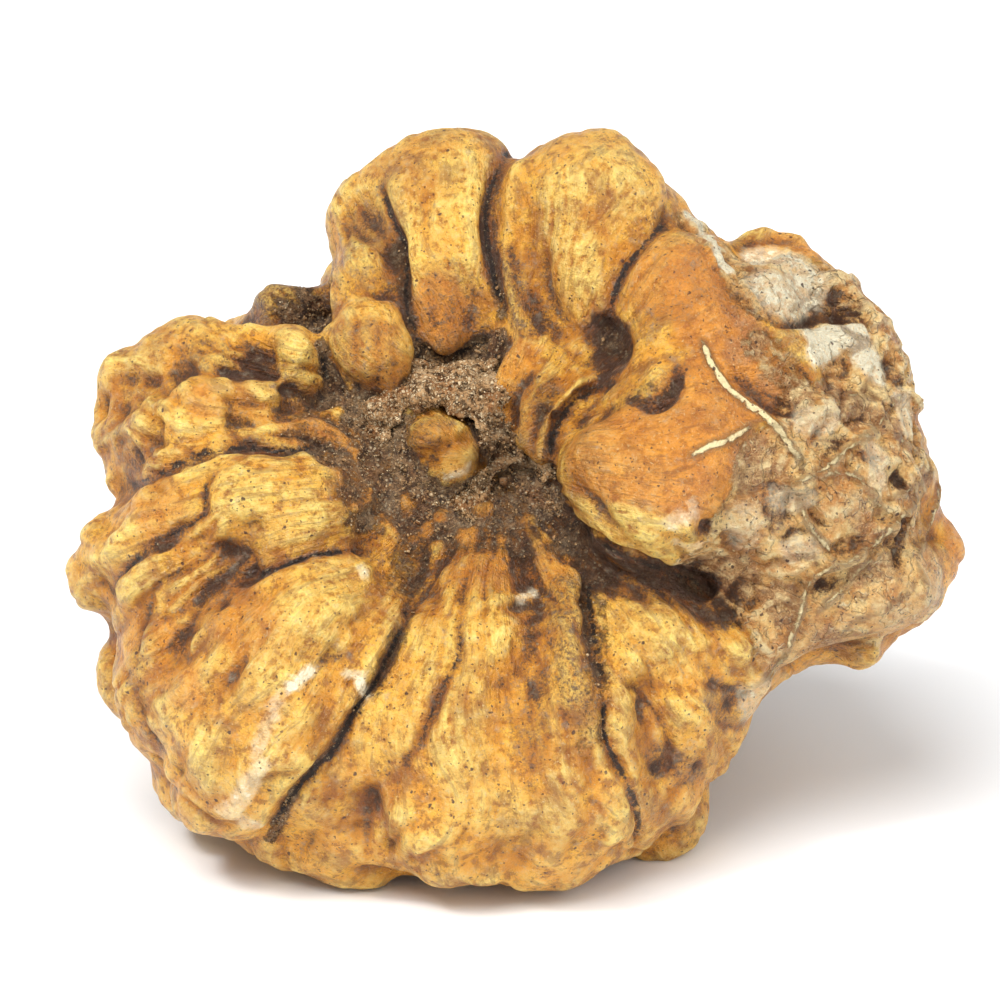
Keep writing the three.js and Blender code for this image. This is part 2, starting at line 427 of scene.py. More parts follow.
# %% Swell the lobes and sink the ground between them
FORMS = read_strokes("""
    # the outline: the tops of the upper lobes, the leftmost lobe, the shelf and the torn side
    0.6 5: -10 74.6, -5 75.6, 0 74.5; 0.8 5: 6 76, 11 76.4; 0.2 3: 15.5 73; 0.8 3: -12.8 71;
    1.1 2.2: 22.4 65.6; 1.2 2.6: -41.8 31.2; -1.6 3: -17.4 69, -17.6 63; -1.9 2: -40.8 48.4;
    -1 2.2: -40.2 43.4; -1.6 3.4: -36.4 56, -32 57.4; -1.8 2.6: -28.6 57.8, -24 57.4, -19.4 56.8;
    -1.4 3: -26.4 59.4, -22 61, -18 61; -1.6 3: 33.4 63.2, 37.4 60, 41.4 55, 43 50.4;
    -1.2 2.6: 24.6 67.4, 27.6 66.8; -1.8 2.4: -13.6 0.6, -9.6 0.8; 1 2.4: -0.6 1.8, 1.6 1.4;
    0.6 3.2: 29.4 62.6; -3.4 5: 42.6 23.6, 37 21.8, 33 21;
    # upper left lobe and the drapes that hang from it
    1.1 2.6: -13.4 62.6; 1 2.6: -5 67, -5 60, -5.2 56; 0.6 1.5: -8.5 63, -8.3 58, -7.7 55.6;
    0.9 1: -5.2 55.6; -1.1 1.8: -10.6 63.6; 0.6 1.6: -2.8 70, -2.9 64, -2.6 58;
    -0.5 1.2: -3.9 61, -3.7 57.5; 0.5 2.4: -8.8 70.6; -0.4 2: -5.2 64.4;
    # the ball under it
    1.2 3.4: -12.7 53.4;
    # upper right lobe and the folds that fall from it into the hollow
    0.6 3.5: 9.5 72; 1 1.7: 2 71.6, 1 66, 1.4 60, 2.4 56.4; -0.3 1.4: 3.8 63, 4.4 59;
    0.5 2: 8.6 64, 8.8 58.4; 0.8 1.9: 1.4 53, -0.4 49.6, 0.2 46.4; 0.8 1.1: 5.2 51.6, 3 48.4, 2.6 45.4;
    0.9 1.1: 8.2 50.4, 5.4 47.6, 4.6 43.4; -0.3 0.8: 3.4 51.6, 1.4 48.6, 1.5 45.8;
    -0.9 1.7: 11.2 54.6, 12 54; 0.5 1.2: 15.7 51.4;
    # orange-brown bulge
    0.8 3.4: 9.2 44.4, 15 41.6; 0.7 3.2: 20.5 58.5, 17.5 62; -0.7 2: 24.2 50.6, 27.6 48.8;
    0.7 2.4: 13 37.6, 17.4 36.2; -0.6 1.2: 7.4 40.8, 10 38.4, 12.4 35.6; 0.6 1: 18.4 36.2; -1 1: 20.6 36;
    -0.4 1.8: 10.4 47.4, 13.6 46;
    # the nub in the hollow
    1.1 1.5: -7.2 45.4; 1.2 1.6: -4.5 42.6; -0.8 0.8: -9 43, -5.8 43.9, -3 45.4;
    # upper left shelf
    1.2 1.9: -20.2 52.6; 0.9 2.2: -31.6 46.8, -28 47.4; 0.7 1.6: -31 50, -28.4 49.6; 0.9 1.7: -36.6 46;
    0.6 1.4: -36.6 49.4; 0.8 1.8: -36.4 52.8, -38.4 52.6; 0.7 1.5: -24.4 45.6, -20 46.2;
    0.5 1.4: -23.4 49.2, -22 50.8; 0.6 1.6: -33.5 52.4; -0.9 1.5: -27 51.4, -24.6 52.4;
    -0.7 1.3: -26 48.4, -26.4 45.6; -0.5 1.2: -20.6 49, -18.4 49.4; -0.8 1.6: -36.4 42.6;
    0.7 1.3: -34.2 43.4, -31.4 44.6; 0.6 1.4: -24.6 56.4; -2.2 1.3: -18.3 58, -18.3 55.4, -17.9 53,
    -17.4 50.6; 0.9 1.6: -20.9 54.4; -0.9 1.4: -24.8 55.8, -23.6 53.8; 0.6 1.3: -29.2 52.6, -27.4 54;
    0.5 1.2: -33.2 48.6, -32.6 45.8;
    # middle left lobes
    1.1 2.4: -26 40.6, -22.6 41.4; 0.8 1.8: -26.6 37.6, -25 38.6;
    0.9 2.2: -16 35.6, -20.6 35.4, -23.6 33.8; 0.6 2.4: -22 38.4, -17.6 38.4;
    1 2: -32.6 38.8, -36.4 36.4, -39.8 33.4; 0.9 1.4: -30.6 42.2, -27.8 43.4;
    0.8 1.5: -34.4 33.2, -36.8 29.6; -0.4 1.2: -30.4 34.6, -33 33.2; 0.6 1.3: -27.6 35.4;
    0.5 1.4: -29 33, -31 31.6; 0.5 1.2: -40.4 30.4;
    # lower left lobe
    1 3.2: -17.6 28.6, -21 27; 0.8 2.6: -22.6 22, -24.4 20; -0.5 1.6: -20 24, -17 23.4;
    0.8 2.2: -31.4 21.6, -34 17.6; 0.7 1.7: -28.2 27, -30.2 24.4;
    -0.5 1.4: -27 25.2, -26.6 22.6, -28.6 20; 0.9 2.6: -20.6 17.6, -20.8 14.4;
    0.8 2.4: -30.6 15, -28.6 11; 0.6 1.6: -24.8 12, -26.2 8.4; -0.5 1.4: -27.4 13.6, -27.8 9.8;
    0.6 1.4: -33 27.4, -34.2 24.8; 0.6 1.3: -13.4 31.2; 0.8 2.4: -32.4 9, -29.6 6.6;
    # the fan in the middle
    0.9 2.6: 0 25.6; 0.6 1.8: -7.4 25, -8.4 22; 0.8 2.2: -2.6 32.4, -1.4 30.4; 0.7 1.4: 3.6 34.6, 4 32.4;
    0.6 1.6: -5 31, -4.6 28.4; 0.7 1.6: 6.8 29.6, 6.4 26.6; -0.3 1.8: 0.4 20.4, 3.6 20.8;
    -0.4 1.8: 4 28, 4.4 20.5; 0.8 3: -5 15, -3 9; 0.7 2.4: -11 17, -13.4 12; 0.7 2.4: 1.6 13, 1 6.2;
    0.7 2: 6.8 24.6, 7.2 20.4; 0.6 1.6: 6.2 11.4, 6 7; 0.7 1.5: 11.4 10, 11.4 5.4;
    -0.3 1.5: -16.6 9.8, -13.4 8.4; 0.7 1.8: -7.6 5, -4.8 4.6;
    # right front
    1.1 2.4: 12.2 30.6, 12.2 26, 12.6 22.6; 0.6 2.8: 16 25.6; -0.3 1.3: 10.6 33.2, 13.6 31.9, 17 30.6;
    0.7 1.2: 21 29.4; 0.7 1.5: 11.9 19.4, 11.8 15.4, 13.4 11.4; -0.25 1.3: 13.6 20.8, 14.2 17;
    0.6 2.2: 18.8 18.4; 0.7 1.8: 17.4 9.4, 18.6 7; 0.6 1.6: 24.2 23.6, 21 24.8; -0.5 1.8: 23.4 18.6;
    -0.4 1.8: 16.8 12.6, 19.2 12.2;
    # the torn right side
    -0.3 0.9: 28.6 56.8, 30.6 57.3, 34.6 57.4, 36.6 56.6; 0.9 1.3: 33 60.2, 35.2 60.8;
    0.9 2.2: 33.2 54.8, 35.4 54.4; 0.6 2: 27.6 61, 29.4 61.6; 0.7 2: 33 48, 36 50; -0.8 2: 28.8 51.6;
    -0.8 1: 39.8 41; 0.4 2.4: 45.6 34; 0.9 2: 44.2 42, 44.8 38; 0.6 2: 24.6 36.6; 0.6 1.8: 28.6 33.6;
    0.7 2: 34.4 38; 0.6 1.4: 26.6 19.8;
    # small lumps half buried between the fan and the hollow
    1.3 1: -9.6 38.4; 1.2 0.8: -5.6 37.4; 1.3 1.1: -1.6 37.8; 1 0.9: -13.2 39.8; 1.1 0.8: 2.2 36.8;
    1 1.1: -11.4 36; 0.9 0.7: -7.6 35.8; 0.9 0.9: -3.2 35.2; 0.9 0.9: -16.6 41.6; 0.8 0.7: -14.6 43.6;
    0.9 0.8: -6.2 34; 0.8 0.7: 0.4 35;
""")

carve(surface, swelling, FORMS)
print("swellings and hollows:", len(FORMS))

# %% [markdown]
# ## The creases
#
# Each crease is depth, width, lip, and its points. The deep ones hold earth.

# %% Cut the creases
DEEP_CREASES = read_strokes("""
    # between the two upper lobes
    1.3 0.3 0: 2.2 75.4, 0 72.6, -1.1 69.8, -1.4 66.2, -1 63.1, -0.3 59.9, 0.6 56.7;
    # where the upper left lobe ends over the hollow
    1.2 0.38 -0.5: -8.6 54.9, -6.4 53.8, -5.4 53.5, -3.5 54, -1.6 54.8, 0.3 56;
    # round the ball under it
    1.2 0.34 0: -18.2 56.6, -18.1 54.4, -17.6 51.8, -16.4 49.6, -14.6 48.4;
    1.2 0.4 -0.4: -8.9 58.4, -8.3 55.6, -8 53, -9.2 50.6, -11 48.9;
    # left edge of the folds under the upper right lobe
    1.2 0.36 -0.3: 0.6 55.2, -0.6 52.5, -2.2 49.7, -2.3 47.3, -0.8 45.3, 1.6 44, 4.2 40.6;
    # the pit beside the bulge
    1.6 0.55 0: 9.6 57.6, 10.6 56, 11.8 54.2;
    # left side of the orange-brown bulge
    1.1 0.32 -0.3: 12.6 51.4, 8.8 49.7, 6.7 48, 5.4 45.9, 5 43.2, 5.4 40.8, 6.4 38.7;
    # under the orange-brown bulge
    2.2 0.42 0: 5.2 38.6, 8.3 36, 11.2 34.1, 13.6 33.1, 16.2 32.1, 19.5 30.8, 22.2 28.9;
    # under the shelf
    1.3 0.34 -0.5: -37.3 39.8, -34.8 41.4, -32.8 42.3, -30.3 43.6, -27.4 44.2, -24.9 44.2, -21 43.9,
    -17.2 44.6;
    # between the leftmost lobe and the middle left one
    0.9 0.28 -0.4: -28.2 42.2, -29.5 40.7, -29.6 38.8, -29.2 37.5, -31.2 36.4, -33.5 35.2, -36 33.3,
    -37.9 31.2, -39.2 29.4;
    # under the middle left lobe
    1.2 0.3 -0.6: -12.3 33.9, -15.8 33.7, -19.1 33.3, -21.7 32.3, -23.5 31.6, -26.4 31;
    # the long crease between the lower left lobe and the fan
    1.6 0.3 0.6: -9.1 29.6, -9.7 26.6, -10.9 24.2, -12.3 21, -14.1 18.7, -15.5 16, -16.7 13.7, -19.1 11.6,
    -20.5 9.9, -22 8.1, -22.9 5.4;
    # the crease at the right of the fan
    1.5 0.32 0: 9 33.6, 8.8 31.2, 9 28.4, 9.5 24.6, 10.3 21.4, 10.4 19.6;
    1.4 0.3 0: 10.5 20.2, 10.3 17.2, 10.6 14.8, 11.9 12.3, 13.2 9.6, 13.9 6.9, 13.4 2.6;
""")
# round the nub in the hollow
NUB_RING = read_strokes("""
    0.7 0.4 0: -9.8 45.6, -9.3 42.6, -7.2 40.5, -4.8 39.9, -2.2 41.2, -1.4 43.8, -2.8 46.6, -5.2 48,
    -7.8 47.8, -9.8 45.6;
""")
FOLDS = read_strokes("""
    # upper left lobe: the drape on its left, and the fold under the bump
    1 0.3 -0.5: -12.1 71.3, -11.5 68.8, -10.5 66.6, -9.6 65, -9.2 62.4, -9.4 59.9, -9.2 57.3, -8.2 54.8;
    0.7 0.3 0: -10.6 64.3, -12.4 66.2, -14 68.5; 0.5 0.26 0: -10.8 65.6, -12.6 67.8, -14.2 70.4;
    0.4 0.24 0: -11.6 64, -13.4 65, -15.2 66.6; 0.5 0.34 0.2: -16.4 60, -14 59.9, -12.1 59.2, -9.6 59.8;
    0.9 0.34 0: -12.4 57.4, -12 53, -12.6 48.8; 0.9 0.3 0: -14 58.6, -14.6 54.4, -13.8 49.6;
    0.7 0.28 0: -10.8 57.4, -10.4 53.4, -10.6 50.4;
    # the nub
    0.5 0.26 0: -7.8 46.6, -6.8 44.2, -6 41.6; 0.4 0.24 0: -5.8 46.4, -4.6 44.4, -3.4 43.2;
    0.4 0.24 0: -8.6 44, -6.6 43.4, -4.6 44.2; 0.7 0.3 0: -7 59.6, -6.7 56.6, -6.2 54.8;
    0.5 0.28 0: -3 62.4, -2.5 59.2, -2.9 56.7, -4.3 54.3; 0.3 0.24 0: -7.4 71, -7.6 66.4, -7 62;
    0.8 0.28 0.3: -17.2 53.2, -16.3 50.8, -14.9 49; 0.6 0.24 0.2: -15.9 51.6, -14.9 50.1, -13.7 49;
    0.5 0.24 0.2: -14.6 51.4, -13.6 50.2, -12.6 49.2;
    # upper right lobe
    0.6 0.34 0.2: 0.9 66.4, 1.2 62.8, 1.9 59.7, 3.6 57, 5.7 54.9, 7.8 53.2, 9.4 52.4;
    0.5 0.3 0: -0.6 65, 0.1 61.1, 0.6 58.3, 1.4 56.2; 0.6 0.26 0: 4.4 65, 4.6 61.8, 5.4 58.6, 7.2 56.4,
    9.4 55.6; 0.6 0.24 0: 2.8 61, 4 58, 6.2 55.6, 8.8 54.6; 0.6 0.24 0: 6.6 61.4, 7.6 58.8, 9.4 57;
    1.2 0.3 0: 17.8 67.6, 16 66.3, 14.3 64.5, 12.9 62.8, 11.9 61.1, 11.2 58.7, 10.9 56.4;
    0.6 0.24 0: 8.4 61.6, 9.2 58.6, 10.2 55.8; 0.6 0.24 0: 13.8 61.6, 12.6 58.8, 11.6 56;
    0.6 0.24 0: 15.8 61.4, 14 58.4, 12.2 55.8; 0.5 0.24 0: 16.4 58.4, 14.4 56.6, 12.4 55.2;
    0.9 0.34 -0.4: 1.4 50, 1.3 47.4, 2.4 45.2; 0.7 0.28 0.2: 9.4 52, 6.4 50.4, 4.2 48, 3.4 45.4, 3.9 42.2;
    0.7 0.26 0.2: 11 51.4, 7.8 49.5, 5.6 47, 4.6 44.4, 4.7 41.8;
    0.5 0.24 0: 8 52.4, 5 50.8, 2.8 48.4, 2.2 46.3;
    # orange-brown bulge
    0.5 0.28 0: 22.6 51.6, 26 50.4, 28.4 48.7, 30.6 48.4; 0.5 0.3 0: 7.6 40.6, 9.8 38.8, 11 37, 12.6 35;
    # shelf
    0.7 0.34 0: -39.2 51.2, -36.7 50.8, -33.5 51.3, -30.6 51.7, -27.6 51.4, -24.4 52.2;
    0.6 0.3 0: -33.5 49.9, -34.4 47.9, -33.9 46.6, -34.8 44.6, -35.4 42.4;
    0.6 0.3 0: -39.4 48.2, -37.6 48, -35.4 48.2, -34 48.8; 0.5 0.3 0: -38.2 46.4, -38.7 44, -37.9 41.1;
    0.6 0.3 0: -25.6 46.8, -21.7 47.5, -17.2 47.4; 0.5 0.28 0: -28.4 50.2, -26.6 48.6, -26.2 46.4,
    -26.8 44.6; 0.5 0.3 0: -23 53.4, -22.6 51.4, -21.4 50, -18.8 50;
    0.4 0.28 0: -33 54, -29 54, -25.4 54.8, -22 55; 0.5 0.3 0: -31 55.2, -28.2 54.8, -26 55.4;
    # lobes at the left edge
    0.6 0.34 -0.4: -27.4 33.6, -29.3 33.4, -31.7 32.1, -33.7 30.7, -34.8 29, -35.6 26.6, -36.2 23.9,
    -36.6 21.6; 0.8 0.34 -0.3: -38.4 24.6, -38.7 21, -38.1 18.1, -37.3 15.2;
    0.7 0.34 0: -36.6 20.2, -35.8 16.9, -34.3 14.6, -32.3 11.9, -30.8 9.8, -29 8.2;
    0.8 0.3 0: -34.9 13.7, -33.1 11, -31.4 9.2, -29.4 7.3, -27.4 6;
    0.5 0.26 0: -41.4 30.6, -40.6 29.2, -39.8 28.6; 0.4 0.24 0: -40.6 32.4, -39.4 31.4, -38.8 30.4;
    # lower left lobe
    0.7 0.34 0.2: -25.2 25, -26.1 22.5, -27 21, -28.4 19.6; 0.7 0.34 0: -27 30.4, -28 28, -29.2 25.8,
    -31 23.4, -33.4 21.4; 0.5 0.32 0: -32.6 29, -33.6 26.4, -34.8 23.4;
    0.2 0.26 0: -19.6 20.4, -21.9 19.2, -23.5 16.6, -24.6 14.4, -25.8 11.3, -27.4 8;
    0.4 0.26 0: -18.7 22.9, -16.1 23.1, -13.2 24.4, -10.9 26.3;
    0.8 0.26 -0.4: -24.6 10.4, -22.4 11.6, -20.4 12.1, -18.8 12.6;
    0.5 0.3 0: -22.8 11.4, -24.2 9, -26.2 6.9; 0.5 0.26 0: -28.6 6.4, -26.4 7.2, -24 6.6;
    # the fan
    0.7 0.26 0: -6.6 36, -7.5 33.4, -7.9 30.6; 0.8 0.28 0.3: -4 27.6, -4 25, -4.2 22.9, -5.6 20.7,
    -6.7 18.1, -7.6 15.7, -9.1 13.4, -10.3 11.4; 0.6 0.3 0: -10 12.2, -10.8 9.4, -11.2 6.4, -12.2 3.6;
    0.7 0.3 -0.4: -12.4 2.8, -11.2 4.4, -9.6 6.1, -7.3 7.6; 0.7 0.34 -0.4: -9.4 2.3, -6.5 3.8, -3.2 5.3;
    0.4 0.3 0: -2 20.6, 0.2 20.2, 2.2 22.4, 3.7 24.6; 0.7 0.3 0: 1.5 35.6, 2.4 33.4, 3.3 31, 3.5 29.4;
    0.6 0.3 0.3: 5.2 35, 6 33.2, 7.4 32, 8.6 31.6; 0.4 0.28 0.2: 8.2 14.6, 9 11.5, 9.4 8.4, 8.3 5.8,
    6.4 3.2; 0.4 0.26 0: 11 11.6, 12.2 8.6, 12.2 5.4, 10.4 2.8; 0.3 0.26 0: 3.4 16.4, 3 12, 3.6 8;
    0.3 0.26 0: -7.4 24, -8.6 21.6, -9.4 19;
    # right front
    0.6 0.3 0.3: 20.4 13, 19.2 11.6, 17.6 9.9, 16.2 8.4; 0.5 0.34 0: 13.5 20.2, 14.1 18, 14.6 15.6;
    0.4 0.3 0: 21.8 28.8, 22.4 26.4, 23.8 24.8, 26.2 23.2, 28 22.6;
    0.4 0.26 0: 19.6 27.6, 20.4 25.4, 22.4 23.4, 25 22; 0.4 0.24 0: 17.6 26.4, 18.6 24, 20.8 22, 23 21;
    0.5 0.3 0: 18.4 21.6, 21 20.4, 23.4 19.6; 0.7 0.34 0.3: 29.4 25.8, 28.6 23.2, 27.2 21.2, 25.2 20,
    23 18.9; 0.5 0.28 0: 21.4 12.6, 19 12.6, 16.6 13;
""")
# a crescent on the bulge: height, width, points
DENT = read_strokes("""
    -1.6 0.65: 12.9 48.8, 14.4 48.2, 16.4 48.5, 17.7 49.9, 18 52; -0.9 1.5: 14.8 49.6, 16.6 50.4;
""")

FINE_VOXEL = 0.30  # the squares are smaller for the creases, mm
PLUMP = 0.35  # swellings stand out this much more than the forms alone make them
BROAD_ROUNDS = 150  # that many rounds of smoothing reach across a lobe

remesh(skin, FINE_VOXEL)
surface = Surface(skin)
surface.push(-PLUMP * surface.hollowness(BROAD_ROUNDS))
carve(surface, ridge, DENT)
carve(surface, crease, DEEP_CREASES + NUB_RING + FOLDS)
surface.points = surface.smoothed(surface.points, 2)
surface.relook()
print("creases:", len(DEEP_CREASES + NUB_RING + FOLDS), "in", len(surface.points), "points")

# %% Helpers: noise on the skin, and how much of it strokes cover
def noise_at(places, scale, shift):
    """Smooth noise at places in millimetres, with swells about scale wide."""
    return np.array([noise.noise(Vector(place)) for place in places / scale + shift])


def covered(surface, strokes):
    """How much of each point a list of strokes covers, from 0 to 1, soft at the edges."""
    share = np.zeros(len(surface.points))
    for strength, width, points in strokes:
        ids, side, _ = near(surface, laid(surface, points), 1.25 * width)
        t = np.clip((1.25 - np.abs(side) / width) / 0.6, 0, 1)
        share[ids] = np.maximum(share[ids], strength * t * t * (3 - 2 * t))
    return share


def valleys(field, sharpness):
    """A line of valleys, 1 deep, wherever the noise field crosses zero."""
    return np.clip(1 - np.abs(field) * sharpness, 0, 1) ** 1.5


# %% [markdown]
# ## The torn side
#
# On its right the truffle broke away from the ground that it grew against. The skin there is a net of raised
# cream veins with sunken cells between them, and one long strip of skin has lifted off. Ridges stand up from
# the skin by their height, in millimetres, and troughs sink.

# %% Raise the veins and sink the cells
# where the skin is torn: strength, width, points
TORN_SKIN = read_strokes("""
    1 5.6: 27.4 61.4, 31.6 58.4; 1 4: 33.6 60.6, 38.6 55, 42.4 49.6, 44.6 44.6; 0.5 2.2: 26 54.4, 29.4 51;
    1 4.5: 34 54, 38 50; 1 5: 32 46, 37 46, 41 44; 1 5.5: 28 41, 34 38, 40 38; 1 4.5: 24.6 36, 25.6 30.4;
    1 5.5: 30 33, 36 30, 40 30; 0.8 6: 30 26, 36 26, 42 30; 0.9 2.5: 19.8 66.4, 22.6 63;
    0.8 2.2: 19 33.2, 22 31.6;
""")
VEINS = read_strokes("""
    # the lifted strip, its branch, and the pale cut edge above it
    0.37 0.36: 19.8 55.5, 20.7 54.1, 20.9 52.7, 21.9 51.4, 23.1 49.8, 24.6 48.8, 25.8 48, 27.4 46.8,
    28.4 45.6, 29.2 43.9, 30.7 42.5; 0.3 0.36: 25.6 47.2, 24.2 45.7, 22.1 44.7, 20.1 44.1, 18.3 43.1;
    0.31 0.46: 18.6 67.6, 20.4 65.8, 21.2 64.2, 22.3 62.6, 23.6 61.3, 25 59.6, 26 57.6;
    # the rim round the upper patch
    0.43 0.53: 22.5 64.2, 23.8 65, 25.4 65.5, 27.4 65.6, 29.4 65, 31.2 63.9;
    0.5 0.73: 33.6 60.2, 34.8 60.2, 36.4 58.6, 37.6 56.8, 38.6 54.8;
    0.31 0.4: 33.6 53.5, 35.6 54.1, 37.6 54.8;
    # the veins of the net
    0.5 0.63: 27 40.3, 28.9 40.4, 31 41.2, 33.3 42.7, 34.9 44.2, 36.5 45.3, 38.5 46.4;
    0.3 0.36: 31.2 40.7, 33.1 41.8, 35.7 41.5, 37 39.9, 38.1 38.2, 38.7 36.6;
    0.34 0.36: 29.6 39.8, 30 38.6, 30.6 36.9, 32 35.1, 33.3 33.6, 34.2 32.5; 0.46 0.4: 24.4 20.2, 26.1 21,
    27.9 22.3, 28.5 23.9, 29.2 25.6, 30 27.3, 30.4 28.6, 30.2 29.6, 31.3 31.2, 33.1 32.3, 34.7 32.8,
    36.5 33.9, 38.3 35.2, 39.6 36.6, 41.1 38.2, 42.6 39.8; 0.4 0.4: 31.3 27.2, 32 28, 33.5 29.3,
    34.8 30.6, 35.7 32.1, 37.2 33, 39 34.2; 0.31 0.36: 38.4 46.6, 39.8 45.2, 41 44.2, 42.4 43.2;
    0.37 0.36: 44.2 44, 44.3 42, 43.9 40.3, 43.6 38.2, 42.8 35.6, 41.6 32.9;
    0.3 0.36: 41.6 33, 42.2 31.2, 43.2 29.6; 0.31 0.4: 38.6 38.9, 40.2 39.6, 41.8 40.5, 43.4 42.2;
    0.37 0.59: 39 53.4, 40.5 50.6, 42 47.9, 43.5 45.6;
    # the rim of the knobby pit, and the broken one on the lower left lobe
    0.3 0.36: 19.6 37.4, 18.6 36.8, 18.9 35.4, 20 34.5, 21.4 35;
    0.3 0.36: -16.3 20.6, -15.6 21.9, -14.3 22.2, -13.2 21.4;
    # chips standing on the fan and the lower left lobe
    0.3 0.4: -3.3 28.1, -0.3 28.7, 3.5 29.9; 0.3 0.59: -21.2 22, -19 20;
""")
CELLS = read_strokes("""
    -0.36 1.6: 34.6 38.4, 35.6 36.6; -0.42 1.3: 30.9 30.2, 32.6 30.6, 34.2 31.6;
    -0.3 1.5: 29.6 34.4, 28.6 31.6; -0.3 1.6: 25.6 43.6, 26.4 42.4; -0.42 1.7: 39.2 42.6, 41 42;
    -0.3 1.4: 27.6 61.4, 29.6 60; -0.24 1.2: 27.4 50.4, 29.6 49.6; -0.48 0.8: 38.6 52.8, 39.8 50.8;
    -0.15 0.9: 40.4 36.6, 40 33.6, 40.2 31.4; -0.6 0.9: -14.7 20.7;
""")
SPLITS = read_strokes("""
    0.63 0.34 0: 26.8 57, 28.2 56.5, 29.3 56.2, 31.1 57.1, 33.6 57.3, 35.8 56.6; 0.49 0.34 0: 26.2 57.2,
    27.4 54.7, 29.1 53.1, 31.1 51.4, 32.3 49.3, 31.5 48.2, 29.9 47.5, 28.2 47.5, 26.6 48.5, 25.2 50,
    23.1 51.9; 0.35 0.3 0: 30.3 39, 31.2 37.4, 32.6 35.6, 33.9 34;
    0.35 0.3 0: 31 32, 32.8 33.2, 34.6 33.8, 36.5 35, 38.2 36.4;
    0.56 0.34 0: 41.8 38.6, 40.9 36.9, 39.6 35.1, 39.8 32.7, 40 31.2;
    0.35 0.3 0: 31.1 41.9, 33.2 43.8, 34.9 45.4, 36.4 46.6; 0.42 0.34 0: 40.2 45.4, 41.2 43.8, 42.6 42.6;
    0.84 0.34 0: 39.2 41.6, 39.8 40.6, 40.4 39.9; 0.35 0.3 0: 23.4 38.9, 22.9 37, 23 34.8, 24.8 33.6,
    26.4 34.8, 27.4 36.6; 0.35 0.3 0: 32.1 59.8, 31.1 58.5, 30.3 57.5; 0.3 0.3 0: 13.7 19.2, 14.1 16.8;
""")
# parts of the torn skin that stayed whole: strength, width, points
PANELS = read_strokes("""
    0.8 2.4: 33.4 40.2, 35.2 37.4; 0.7 2.2: 25.6 43.4, 25.4 41.4; 0.5 2.6: 28.4 61, 29.6 60;
    0.8 5: 32 25, 39 27.5, 43 31; 0.6 1.6: 32 55.4, 35 55.4; 0.7 2.2: 24.6 37.6, 24.2 35;
""")


def crumple(surface):
    """Breaks the torn skin into small plates with thin valleys between them."""
    share = covered(surface, TORN_SKIN) * (1 - covered(surface, PANELS))
    plates = valleys(noise_at(surface.points, 3.0, 83.0), 5.0)
    plates += 0.6 * valleys(noise_at(surface.points, 1.5, 89.0), 4.0)
    ridges = valleys(noise_at(surface.points, 4.5, 107.0), 3.5)
    surface.push(share * (0.45 * ridges - 0.40 * plates))


carve(surface, ridge, [(1.6 * height, 1.25 * width, points) for height, width, points in VEINS] + CELLS)
carve(surface, crease, SPLITS)
crumple(surface)
print("veins, cells and splits:", len(VEINS), len(CELLS), len(SPLITS))

# %% [markdown]
# ## Wrinkles
#
# The whole skin is puckered towards the hollow, as cloth is towards a drawn string. So the wrinkles follow a
# grain: one coordinate runs round the hollow, and the other away from it. Noise read on those coordinates,
# squeezed along the second, gives long folds that all point at the hollow, on every side of the truffle. A
# sharp valley runs wherever such noise crosses zero.

# %% Find the grain of the skin
HOLLOW = on_face(-5, 44, 24)
MIDDLE = (LOW + HIGH) / 2
POLE = (HOLLOW - MIDDLE).normalized()
ROUND_SIZE = 35.0  # mm of the round coordinate for each radian
STRETCH = 3.5  # how many times longer than wide the wrinkles are


def grain_of(points):
    """The coordinates of the wrinkles at points in millimetres, and the angle away from the hollow. The round
    coordinate is a circle, so the first two numbers hold it."""
    side = POLE.orthogonal().normalized()
    up = POLE.cross(side)
    ways = points - np.array(MIDDLE) / MM
    ways /= np.linalg.norm(ways, axis=1)[:, None]
    away = np.arccos(np.clip(ways @ np.array(POLE), -1, 1))
    turn = np.arctan2(ways @ np.array(up), ways @ np.array(side))
    grain = np.stack([np.cos(turn), np.sin(turn), away / STRETCH], 1) * ROUND_SIZE
    bend = np.stack([noise_at(points, 9.0, shift) for shift in (11.0, 23.0, 37.0)], 1)
    return grain + bend * (3.0, 3.0, 0.8), away


grain, away = grain_of(surface.points)

# %% Pucker the skin
# lobes with few wrinkles: strength, width, points
SMOOTH_SKIN = read_strokes("""
    1 7.5: 7 73, 10 70, 9 62; 1 7: -9 71, -4 72, -5 60; 0.5 5: -13 54; 1 7.5: 10 44, 18 44, 18 56, 18 62;
    0.7 8: 34 30, 40 28; 0.7 7: 27 58, 30 48, 32 38, 38 44; 0.4 9: -22 26, -22 14; 0.4 9: -6 16, 4 12;
""")
# lobes with more wrinkles than most
ROUGH_SKIN = read_strokes("""
    0.7 6: -36 48, -24 50, -19 47; 0.5 5: -37 35, -30 33; 0.5 5: -32 26, -26 29; 0.4 5: -4 32, 4 31;
    0.5 4: 16 22, 18 12;
""")

rough = (1 - covered(surface, SMOOTH_SKIN)) * np.clip(away / 0.5, 0.5, 1) * (1 + covered(surface, ROUGH_SKIN))
lumps = noise_at(surface.points, 6.0, 3.0) + 0.5 * noise_at(surface.points, 2.6, 5.0)
where = np.clip(0.4 + 1.8 * noise_at(surface.points, 8.0, 41.0), 0, 1)
folds = valleys(noise_at(grain, 5.5, 13.0), 4.5) * where
wrinkles = valleys(noise_at(grain, 2.4, 17.0), 2.8) * np.clip(1.1 - where, 0.2, 1)
pimples = noise_at(surface.points, 1.3, 29.0)
surface.push((0.12 + 0.88 * rough) * (0.60 * lumps - 0.50 * folds - 0.30 * wrinkles + 0.16 * pimples))

# %% Deepen what is already hollow
DEEPEN_ROUNDS = 10
surface.push(-0.4 * np.clip(surface.hollowness(DEEPEN_ROUNDS) - 0.02, 0, 0.5))
surface.points = surface.smoothed(surface.points, 1)
surface.relook()

print("grain, folds and wrinkles on", len(surface.points), "points")

